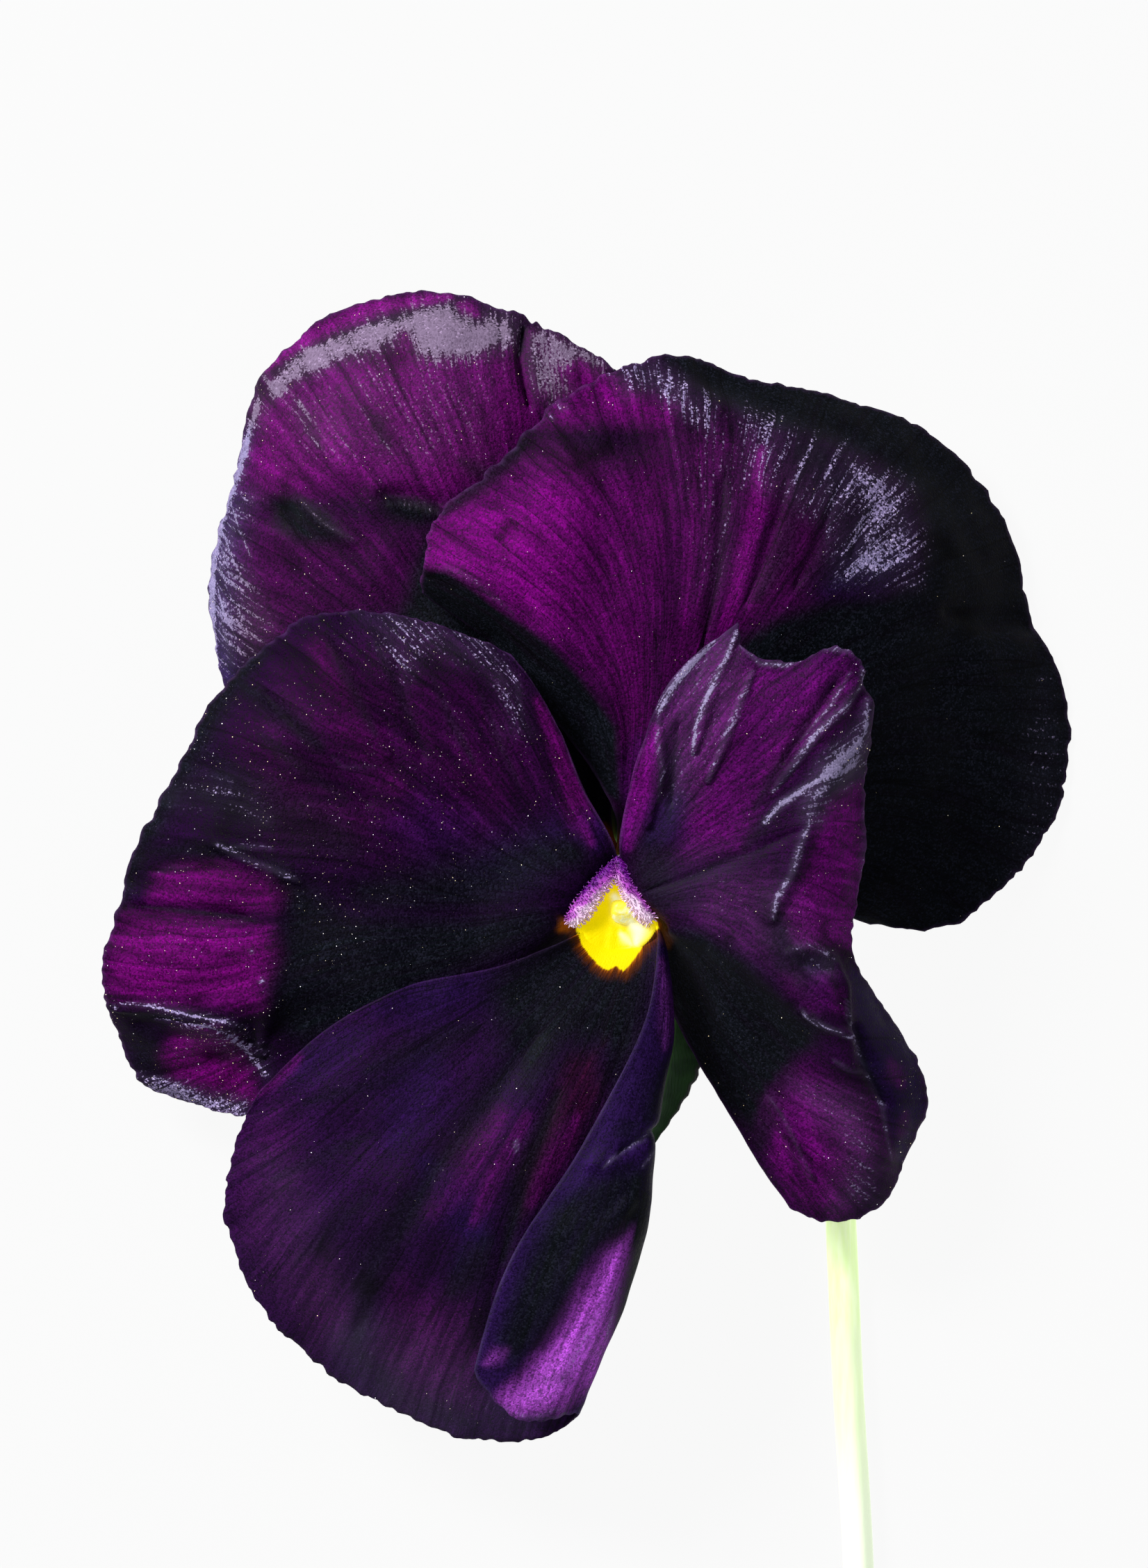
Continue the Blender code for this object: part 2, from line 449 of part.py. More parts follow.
def stamens(look):
    vertices, faces = [], []
    size = len(ANTHER_SECTION)
    for step in range(ANTHER_STEPS):
        turn = 2 * math.pi * step / ANTHER_STEPS
        crown = abs(math.cos(ANTHERS * (turn - math.pi / 2) / 2))
        for radius, rise in ANTHER_SECTION:
            bulge = 1 - 0.1 * (1 - crown) * (radius > 1.2)
            height = rise * (0.72 + 0.28 * crown)
            vertices.append((
                ANTHER_RING[0] + radius * bulge * math.cos(turn),
                ANTHER_RING[1] + radius * bulge * math.sin(turn),
                ANTHER_BASE + height,
            ))
        for k in range(size):
            a, b = step * size + k, step * size + (k + 1) % size
            c, d = ((step + 1) % ANTHER_STEPS * size + k), ((step + 1) % ANTHER_STEPS * size + (k + 1) % size)
            faces += [(a, b, d), (a, d, c)]
    return add("stamens", vertices, faces, look)


def main():
    start_empty()
    looks = {
        "petal_upper_left": material("petal_upper_left", (0.10, 0.003, 0.09), 0.5),
        "petal_upper_right": material("petal_upper_right", (0.11, 0.003, 0.10), 0.5),
        "petal_lateral_left": material("petal_lateral_left", (0.07, 0.003, 0.07), 0.5),
        "petal_lateral_right": material("petal_lateral_right", (0.08, 0.004, 0.09), 0.5),
        "petal_lower": material("petal_lower", (0.06, 0.003, 0.10), 0.5),
    }
    green = material("calyx_green", (0.03, 0.10, 0.02), 0.5)
    made = petals(looks)
    join_into(made["petal_lower"], spur(looks["petal_lower"]))
    for name, angle, middle, tip, half_width in SEPALS:
        sepal(name, angle, middle, tip, half_width, green)
    stem(material("stem_green", (0.42, 0.62, 0.24), 0.45))
    pistil(material("stigma_yellow", (0.75, 0.72, 0.15), 0.4))
    stamens(material("anther_orange", (0.75, 0.35, 0.05), 0.5))
    for obj in bpy.context.scene.objects:
        low = min((obj.matrix_world @ v.co).z for v in obj.data.vertices) / MM
        print(obj.name, len(obj.data.polygons), "faces, lowest", round(low, 3), "mm")


main()
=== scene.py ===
# %% [markdown]
# A pansy bloom, picked with its stem and laid on its back, face up, seen from straight above.
# A real pansy has five petals on narrow claws round a small green ovary, five sepals behind them
# and a hooked stalk. Its velvet comes from cone-shaped cells that trap light, so a petal is almost
# black where light grazes it one way, magenta where light falls on it, and silvery at its bends.
# Lengths are in millimetres until a mesh is made. X is right, Y is up the bloom, Z is out of its face.

import math

import bpy
import numpy as np
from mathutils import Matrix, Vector, noise


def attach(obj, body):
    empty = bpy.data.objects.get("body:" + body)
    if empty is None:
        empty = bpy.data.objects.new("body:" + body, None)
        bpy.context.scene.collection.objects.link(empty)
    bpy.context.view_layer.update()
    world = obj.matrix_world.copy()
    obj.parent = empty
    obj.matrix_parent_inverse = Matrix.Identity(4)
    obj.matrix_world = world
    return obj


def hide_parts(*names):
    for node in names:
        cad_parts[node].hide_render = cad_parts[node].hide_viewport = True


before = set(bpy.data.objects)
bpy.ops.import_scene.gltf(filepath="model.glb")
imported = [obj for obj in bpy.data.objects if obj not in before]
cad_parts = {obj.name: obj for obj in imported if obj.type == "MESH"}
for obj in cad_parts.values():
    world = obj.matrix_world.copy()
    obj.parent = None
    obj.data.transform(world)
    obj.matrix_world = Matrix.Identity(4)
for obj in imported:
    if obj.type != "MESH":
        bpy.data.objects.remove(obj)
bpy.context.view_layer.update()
MM = 0.001
SEED = 7
print("nodes", sorted(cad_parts))

# %% [markdown]
# Every petal is a fan of ribs that leave a narrow claw and spread to a waved edge. A sculpted grid or
# a scan would also do. A few stations on each rib are easier to read and to correct, so each rib is
# listed with its throat, two stations on the blade, one near the edge and the edge itself, clockwise
# as seen from the front, and a smooth curve runs through them both ways.

# %% The ribs of the five petals
UPPER_LEFT_RIBS = (
    ((-2.6, 5.0, 8.6), (-9.2, 7.6, 8.0), (-16.5, 10.0, 5.9), (-21.8, 12.2, 3.6), (-25.2, 14.4, 1.8)),
    ((-2.8, 5.4, 8.6), (-9.9, 9.6, 8.3), (-17.6, 14.2, 6.4), (-23.0, 17.0, 3.6), (-26.2, 19.8, 0.4)),
    ((-2.8, 5.8, 8.6), (-10.0, 11.8, 8.5), (-17.6, 18.9, 7.4), (-22.9, 22.0, 4.2), (-26.2, 24.5, 0.4)),
    ((-2.7, 6.1, 8.6), (-9.4, 13.8, 8.6), (-16.4, 22.8, 8.4), (-21.2, 26.6, 6.2), (-25.0, 28.6, 2.0)),
    ((-2.5, 6.4, 8.6), (-8.4, 15.4, 8.5), (-14.7, 25.8, 8.9), (-19.6, 31.1, 8.0), (-23.1, 35.3, 3.4)),
    ((-2.3, 6.6, 8.5), (-7.3, 16.5, 8.2), (-12.6, 28.0, 9.2), (-16.7, 34.7, 9.0), (-19.7, 39.2, 4.6)),
    ((-2.0, 6.7, 8.4), (-6.1, 17.2, 7.9), (-10.2, 29.4, 9.2), (-13.4, 36.4, 9.4), (-15.0, 41.1, 5.6)),
    ((-1.7, 6.8, 8.3), (-4.9, 17.5, 7.6), (-7.8, 30.0, 8.8), (-9.7, 36.6, 9.4), (-10.3, 41.3, 6.2)),
    ((-1.4, 6.8, 8.1), (-3.7, 17.5, 7.4), (-5.4, 30.0, 8.2), (-6.3, 35.8, 8.7), (-6.5, 40.1, 7.2)),
    ((-1.1, 6.8, 7.9), (-2.4, 17.2, 7.2), (-3.0, 29.3, 7.8), (-3.3, 34.7, 8.2), (-3.7, 38.9, 7.0)),
    ((-0.8, 6.8, 7.8), (-1.2, 16.8, 7.1), (-0.7, 28.0, 7.4), (-0.2, 33.0, 7.5), (0.2, 36.5, 6.6)),
    ((-0.4, 6.8, 7.6), (0.0, 16.2, 7.0), (1.6, 26.0, 7.2), (2.9, 30.4, 7.2), (3.9, 33.2, 6.6)),
    ((0.0, 6.7, 7.5), (1.2, 15.3, 6.9), (3.3, 22.8, 7.0), (4.8, 26.3, 7.1), (6.0, 28.8, 6.6)),
)
UPPER_RIGHT_RIBS = (
    ((0.2, 7.35, 10.75), (-2.4, 11.8, 9.9), (-6.2, 16.4, 10.0), (-9.4, 19.6, 10.2), (-12.4, 21.6, 10.4)),
    ((0.55, 7.5, 10.95), (0.0, 13.6, 12.6), (-4.0, 18.6, 13.4), (-8.3, 21.8, 13.6), (-12.2, 23.6, 12.9)),
    ((0.85, 7.6, 11.1), (0.8, 14.6, 12.7), (-2.6, 21.0, 13.6), (-6.9, 24.4, 13.9), (-11.3, 26.9, 12.8)),
    ((1.1, 7.65, 11.2), (1.6, 15.2, 12.7), (-0.6, 22.8, 13.6), (-4.4, 27.2, 13.7), (-8.0, 29.6, 12.6)),
    ((1.3, 7.7, 11.3), (2.4, 15.6, 12.7), (1.4, 24.0, 13.5), (-1.4, 29.5, 13.4), (-4.3, 33.4, 12.0)),
    ((1.6, 7.6, 11.3), (3.2, 15.8, 12.7), (3.4, 24.8, 13.5), (1.8, 31.1, 13.0), (0.2, 36.3, 10.9)),
    ((1.9, 7.5, 11.2), (4.1, 15.8, 12.6), (5.6, 25.2, 13.5), (5.2, 31.8, 12.5), (5.0, 37.1, 9.4)),
    ((2.1, 7.4, 11.1), (5.1, 15.6, 12.5), (8.1, 25.0, 13.4), (9.0, 31.0, 11.6), (9.8, 35.5, 7.8)),
    ((2.4, 7.2, 11.0), (6.1, 15.2, 12.3), (10.8, 24.2, 13.1), (13.2, 29.4, 10.9), (15.8, 34.4, 5.6)),
    ((2.7, 6.9, 10.8), (7.1, 14.6, 12.1), (13.2, 22.6, 12.6), (17.3, 27.2, 9.4), (21.6, 31.8, 3.2)),
    ((2.9, 6.6, 10.6), (7.9, 13.7, 11.8), (15.0, 20.2, 11.8), (20.8, 23.9, 7.8), (25.7, 26.8, 1.5)),
    ((3.1, 6.2, 10.4), (8.4, 12.4, 11.3), (16.0, 17.2, 10.9), (22.5, 19.4, 6.6), (27.8, 20.1, 0.9)),
    ((3.3, 5.8, 10.2), (8.6, 10.9, 10.8), (16.3, 13.8, 10.0), (23.4, 14.9, 5.4), (30.1, 14.7, 0.4)),
    ((3.5, 5.4, 10.0), (8.4, 9.3, 10.3), (15.8, 10.4, 9.3), (22.8, 10.3, 5.2), (29.6, 8.5, 0.4)),
    ((3.6, 5.1, 9.7), (7.9, 7.6, 9.9), (14.6, 7.4, 8.8), (20.7, 6.3, 5.5), (27.0, 3.6, 1.6)),
    ((3.7, 4.8, 9.4), (7.2, 6.1, 9.6), (12.6, 4.8, 8.6), (17.4, 3.0, 6.0), (21.9, -0.2, 3.2)),
    ((3.7, 4.5, 9.0), (6.4, 4.9, 9.2), (10.2, 3.2, 8.4), (13.6, 1.5, 6.8), (17.0, 0.0, 4.6)),
)
LATERAL_LEFT_RIBS = (
    ((-2.9, -1.4, 10.6), (-8.0, -5.4, 12.3), (-14.3, -8.2, 12.8), (-19.6, -10.7, 11.0),
        (-24.2, -12.6, 7.6)),
    ((-3.0, 0.0, 12.0), (-8.6, -3.2, 12.9), (-16.4, -6.1, 13.3), (-22.8, -9.0, 8.8), (-28.0, -11.6, 4.8)),
    ((-3.0, 0.4, 12.2), (-8.9, -2.2, 13.0), (-17.3, -4.7, 13.6), (-24.6, -7.9, 8.8), (-31.2, -10.0, 4.2)),
    ((-3.0, 0.7, 12.3), (-9.1, -1.3, 13.0), (-17.9, -3.3, 13.8), (-25.4, -6.4, 11.0), (-32.4, -6.9, 5.6)),
    ((-2.9, 1.0, 12.4), (-9.2, -0.4, 13.0), (-18.3, -1.6, 13.9), (-26.2, -4.0, 11.8), (-33.3, -3.6, 8.0)),
    ((-2.8, 1.3, 12.5), (-9.1, 0.7, 12.9), (-18.2, 0.6, 13.8), (-26.3, -0.5, 12.0), (-32.5, 0.4, 8.6)),
    ((-2.6, 1.6, 12.5), (-8.8, 2.0, 12.8), (-17.6, 3.4, 13.7), (-25.2, 3.7, 12.2), (-31.2, 4.9, 8.8)),
    ((-2.4, 2.0, 12.6), (-8.2, 3.5, 12.7), (-16.2, 6.8, 13.6), (-23.3, 8.2, 12.6), (-28.9, 9.3, 9.4)),
    ((-2.1, 2.4, 12.6), (-7.2, 5.1, 12.7), (-13.9, 10.3, 13.6), (-20.2, 12.8, 12.9), (-25.6, 15.3, 10.0)),
    ((-1.7, 2.8, 12.6), (-5.9, 6.6, 12.8), (-11.2, 12.9, 13.7), (-16.2, 16.3, 13.2), (-20.2, 19.9, 11.2)),
    ((-1.3, 3.3, 12.6), (-4.5, 7.8, 13.0), (-8.3, 14.4, 14.0), (-11.8, 17.6, 13.6), (-14.6, 20.4, 12.2)),
    ((-0.6, 3.9, 12.5), (-3.0, 8.6, 13.2), (-5.7, 14.3, 14.4), (-8.0, 17.0, 14.1), (-9.9, 19.1, 13.0)),
    ((0.3, 4.5, 12.2), (-1.6, 8.5, 13.2), (-3.3, 12.5, 14.4), (-4.8, 15.2, 14.3), (-6.6, 17.7, 13.6)),
)
LATERAL_RIGHT_RIBS = (
    ((0.6, 4.6, 12.7), (1.1, 8.4, 14.4), (2.3, 12.4, 15.6), (4.4, 16.4, 16.2), (8.3, 19.8, 16.4)),
    ((1.05, 4.1, 12.9), (2.4, 8.3, 14.9), (4.4, 12.3, 16.2), (6.6, 15.4, 16.8), (8.9, 17.9, 16.5)),
    ((1.25, 3.7, 13.0), (3.6, 7.9, 15.0), (6.4, 11.7, 16.3), (9.0, 14.8, 16.9), (11.8, 17.1, 16.3)),
    ((1.45, 3.3, 13.1), (4.7, 7.3, 15.0), (8.2, 10.9, 16.3), (11.6, 14.3, 17.2), (15.2, 18.1, 16.4)),
    ((1.65, 2.9, 13.1), (5.5, 6.4, 14.9), (9.8, 9.6, 16.4), (13.6, 12.2, 17.4), (16.8, 14.7, 15.4)),
    ((1.85, 2.5, 13.1), (6.1, 5.4, 14.8), (10.7, 7.6, 16.4), (14.0, 8.8, 16.6), (16.5, 9.8, 14.2)),
    ((2.1, 2.1, 13.1), (6.4, 4.2, 14.7), (10.9, 5.2, 16.2), (13.8, 5.4, 15.8), (16.3, 5.0, 13.4)),
    ((2.35, 1.7, 13.0), (6.6, 2.9, 14.6), (10.8, 2.9, 15.8), (13.6, 2.4, 15.3), (16.1, 1.6, 13.2)),
    ((2.6, 1.3, 12.9), (6.6, 1.6, 14.5), (10.7, 0.3, 15.6), (13.6, -1.0, 15.2), (15.7, -1.8, 13.2)),
    ((2.9, 0.9, 12.6), (6.4, 0.0, 14.3), (10.8, -3.4, 15.0), (14.9, -6.2, 14.4), (18.1, -5.8, 9.4)),
    ((3.2, 0.6, 12.1), (6.0, -2.0, 12.4), (10.0, -6.6, 11.8), (15.9, -10.4, 12.2), (20.7, -11.0, 7.6)),
    ((3.6, 0.7, 11.7), (5.5, -3.2, 11.0), (9.4, -9.2, 10.4), (16.2, -13.8, 11.0), (19.3, -15.2, 7.2)),
    ((3.8, 0.4, 11.2), (5.0, -4.0, 10.3), (8.9, -10.7, 9.7), (14.3, -15.8, 9.8), (17.4, -18.5, 7.0)),
    ((3.6, -0.6, 10.7), (4.3, -4.6, 9.7), (8.0, -11.2, 9.2), (12.0, -16.2, 8.9), (14.4, -19.6, 7.0)),
    ((3.1, -1.2, 10.2), (3.6, -5.0, 9.2), (7.0, -11.1, 8.8), (9.3, -14.9, 8.4), (11.6, -18.5, 7.2)),
)
LOWER_RIBS = (
    ((3.0, -0.5, 13.1), (2.15, -6.2, 15.8), (-1.9, -14.3, 17.4), (-6.6, -21.8, 16.6), (-8.9, -29.2, 13.3)),
    ((3.15, -0.6, 13.0), (2.9, -6.4, 15.5), (0.4, -14.4, 17.3), (-2.8, -22.3, 16.9), (-6.4, -32.2, 12.9)),
    ((3.25, -0.7, 12.8), (3.6, -6.5, 14.9), (2.3, -14.0, 16.3), (0.6, -22.5, 16.0), (-3.8, -32.2, 12.3)),
    ((3.3, -0.8, 12.5), (3.9, -6.5, 14.0), (2.7, -13.5, 14.6), (1.6, -22.3, 14.2), (-2.3, -31.8, 10.8)),
    ((3.1, -1.1, 12.1), (3.3, -6.6, 12.9), (2.2, -13.8, 13.0), (0.9, -22.7, 12.4), (-3.6, -33.2, 9.6)),
    ((2.2, -1.5, 12.0), (1.5, -7.2, 12.9), (-0.9, -15.0, 13.4), (-3.2, -24.0, 12.9), (-6.2, -33.9, 8.8)),
    ((1.2, -1.7, 12.0), (-0.8, -7.5, 13.2), (-4.6, -15.8, 14.4), (-7.5, -24.6, 13.4), (-10.4, -33.3, 8.4)),
    ((0.3, -1.8, 12.0), (-3.0, -7.4, 13.5), (-8.0, -15.6, 15.0), (-12.0, -23.9, 13.3), (-15.2, -31.3, 8.6)),
    ((-0.5, -1.7, 12.0), (-4.8, -6.9, 13.6), (-11.2, -14.4, 15.0), (-16.2, -21.8, 13.3),
        (-19.9, -28.3, 9.0)),
    ((-1.1, -1.5, 12.1), (-6.1, -6.1, 13.7), (-13.2, -12.7, 14.8), (-18.9, -19.0, 13.3),
        (-23.0, -24.8, 9.8)),
    ((-1.6, -1.2, 12.2), (-7.0, -5.2, 13.9), (-14.4, -10.6, 14.7), (-20.3, -15.7, 13.4),
        (-25.3, -19.2, 10.8)),
    ((-2.0, -0.9, 12.4), (-7.4, -4.0, 14.2), (-14.9, -7.9, 14.9), (-20.4, -11.9, 13.8),
        (-24.6, -14.2, 12.0)),
    ((-2.3, -0.7, 12.7), (-7.4, -2.7, 14.6), (-13.3, -4.0, 15.2), (-18.4, -6.7, 14.9),
        (-22.9, -10.8, 13.6)),
)

# %% Smooth curves through a row of points
def knots_for(points):
    """How far apart a row of points stands, as the root of each step, so that short steps don't bulge."""
    steps = np.linalg.norm(np.diff(points, axis=0), axis=-1)
    if steps.ndim > 1:
        steps = steps.mean(axis=1)
    return np.concatenate([[0.0], np.cumsum(np.sqrt(steps))])


def spline_weights(knots, places):
    """Weights of a smooth curve through a row of points, read at places from 0 to the last point's number."""
    count = len(knots)
    gaps = np.diff(knots)
    slopes = np.zeros((count, count))
    for i in range(1, count - 1):
        before, after = gaps[i - 1], gaps[i]
        slopes[i, i + 1] = before / (after * (before + after))
        slopes[i, i - 1] = -after / (before * (before + after))
        slopes[i, i] = (after / before - before / after) / (before + after)
    for end, inner, gap in ((0, 1, gaps[0]), (count - 1, count - 2, -gaps[-1])):
        slopes[end, inner] = 1.5 / gap
        slopes[end, end] = -1.5 / gap
        slopes[end] -= 0.5 * slopes[inner]
    rows = np.zeros((len(places), count))
    for row, place in zip(rows, places):
        i = min(int(place), count - 2)
        t = place - i
        row[i] += 2 * t**3 - 3 * t**2 + 1
        row[i + 1] += 3 * t**2 - 2 * t**3
        row += gaps[i] * ((t**3 - 2 * t**2 + t) * slopes[i] + (t**3 - t**2) * slopes[i + 1])
    return rows


def stepped(steps):
    """Places along a rib, with so many even steps from each station to the next."""
    places = [0.0]
    for station, count in enumerate(steps):
        places += [station + (k + 1) / count for k in range(count)]
    return np.array(places)


def unit(vectors):
    return vectors / np.maximum(np.linalg.norm(vectors, axis=-1, keepdims=True), 1e-9)


# %% [markdown]
# The solid model has the petals' large waves. The fine blade adds what a real one shows close up: a
# crimped edge, low swells, shallow creases and the ribs of its veins. They are moves along the
# blade's normals, so the petal keeps its place. Smooth noise with fixed offsets gives the swells.

# %% Fine petal surfaces
CLAW_RING = (0.5, 2.2)
CLAW_RADIUS = 2.4
CLAW_Z = 6.4
ACROSS = 290
ALONG = ((8, 24, 32, 30, 30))
SOLID_STATIONS = (0, 2 / 15, 5 / 15, 9 / 15, 12 / 15, 1)
CLAW_ROWS, CLAW_PASSES = ALONG[0] + ALONG[1] // 2, 60
NOISE_REACH = 1.6


def petal_surface(ribs, sector):
    ribs = np.array(ribs)
    knots = knots_for(ribs)
    turn = np.radians(np.interp(knots, (0, knots[-1]), sector))
    claws = np.stack([
        CLAW_RING[0] + CLAW_RADIUS * np.cos(turn),
        CLAW_RING[1] + CLAW_RADIUS * np.sin(turn),
        np.full(len(ribs), CLAW_Z),
    ], axis=1)
    net = np.concatenate([claws[:, None], ribs], axis=1)
    across = spline_weights(knots, np.linspace(0, len(ribs) - 1, ACROSS + 1))
    along = spline_weights(knots_for(net.swapaxes(0, 1)), stepped(ALONG))
    return np.einsum("ai,ijk,bj->abk", across, net, along)


def grid_places():
    """Places across the petal and out along it, both from 0 to 1, the second as the solid model counts it."""
    u = np.linspace(0, 1, ACROSS + 1)[:, None]
    v = np.interp(stepped(ALONG), range(6), SOLID_STATIONS)[None, :]
    return np.broadcast_arrays(u, v)


def rippled(points, waves, height):
    u, v = grid_places()
    swell = height * np.clip((v - 0.45) / 0.55, 0, 1) ** 2 * np.sin(math.pi * u) ** 0.5
    lift = swell * np.sin(2 * math.pi * waves * (u + 0.03 * v))
    points[..., 2] += lift
    outward = unit(points - np.array([0.0, 2.0, 0.0]))
    points[..., :2] += 0.5 * lift[..., None] * outward[..., :2]
    return points


def normals_of(points):
    return unit(np.cross(np.gradient(points, axis=0), np.gradient(points, axis=1)))


def even_normals(points):
    """Normals of a petal, evened out across its claw, which is much narrower than the blade."""
    normals, rows = normals_of(points), CLAW_ROWS
    for _ in range(CLAW_PASSES):
        normals[1:-1, :rows] = (normals[:-2, :rows] + 2 * normals[1:-1, :rows] + normals[2:, :rows]) / 4
        normals[0, :rows], normals[-1, :rows] = normals[1, :rows], normals[-2, :rows]
    return normals


def smooth_noise(points, size, offset):
    """Noise from about -1 to 1 whose swells are so many millimetres apart."""
    flat = points.reshape(-1, 3) / size + offset
    return np.array([noise.noise(Vector(p)) for p in flat]).reshape(points.shape[:-1]) * NOISE_REACH

def layered(points, layers):
    """Layers of smooth noise added up, each given by its height, its size and its offset."""
    return sum(height * smooth_noise(points, size, offset) for height, size, offset in layers)


def edge_distance(points):
    """Millimetres from each grid point to the nearest free edge, along the grid."""
    outward = np.linalg.norm(np.diff(points, axis=1), axis=-1)
    to_rim = np.zeros(points.shape[:2])
    to_rim[:, :-1] = np.cumsum(outward[:, ::-1], axis=1)[:, ::-1]
    sideways = np.linalg.norm(np.diff(points, axis=0), axis=-1)
    from_first = np.zeros(points.shape[:2])
    from_first[1:] = np.cumsum(sideways, axis=0)
    from_last = from_first[-1:] - from_first
    return np.minimum(to_rim, np.minimum(from_first, from_last)), to_rim


def nearest(points, path):
    """Millimetres in plan from each grid point to a path, and how far along it the nearest place is."""
    spot, path = points[..., :2], np.array(path, float)
    best, share = np.full(spot.shape[:-1], 1e9), np.zeros(spot.shape[:-1])
    for number, (a, b) in enumerate(zip(path[:-1], path[1:])):
        along = np.clip(((spot - a) @ (b - a)) / max((b - a) @ (b - a), 1e-9), 0, 1)
        away = np.linalg.norm(spot - a - along[..., None] * (b - a), axis=-1)
        share = np.where(away < best, (number + along) / (len(path) - 1), share)
        best = np.minimum(best, away)
    return best, share


def inside(points, outline):
    """Which grid points lie inside a closed outline in plan."""
    x, y = points[..., 0], points[..., 1]
    held = np.zeros(x.shape, bool)
    for a, b in zip(outline, outline[1:] + outline[:1]):
        crosses = (a[1] > y) != (b[1] > y)
        held ^= crosses & (x < (b[0] - a[0]) * (y - a[1]) / ((b[1] - a[1]) or 1e-9) + a[0])
    return held


def patch(points, outline, softness):
    """1 inside a closed outline in plan, 0 outside, with a soft rim."""
    away, _ = nearest(points, outline + outline[:1])
    cover = np.clip(0.5 + 0.5 * np.where(inside(points, outline), away, -away) / softness, 0, 1)
    return cover * cover * (3 - 2 * cover)


def brushed(points, marks):
    """The strongest of several marks at each grid point, from 0 to 1."""
    mask = np.zeros(points.shape[:-1])
    for kind, size, strength, path in marks:
        if kind == "line":
            away, share = nearest(points, path)
            cover = np.exp(-((away / (size * (0.45 + 0.55 * np.sin(math.pi * share)))) ** 2))
        else:
            cover = patch(points, path, size)
        mask = np.maximum(mask, strength * cover)
    return mask


# %% [markdown]
# Creases and zones of colour are marks in plan, in millimetres, as one would brush them on a relief.
# A line has a width and a strength. An area is a closed outline with a soft rim and a strength. Their
# rims are frayed later by the veins. Most zones are painted light and shade: the lit zones show the
# petal's own magenta where light is painted falling on it, the dark ones paint cast shadows and the
# shade of faces turned from the light near black, and the sheen ones paint lilac-grey highlights on
# the bends. The violet and red zones are the petals' own colour.

# %% Lines and areas
def line(width, strength, *path):
    return ("line", width, strength, path)


def area(softness, strength, *outline):
    return ("area", softness, strength, outline)


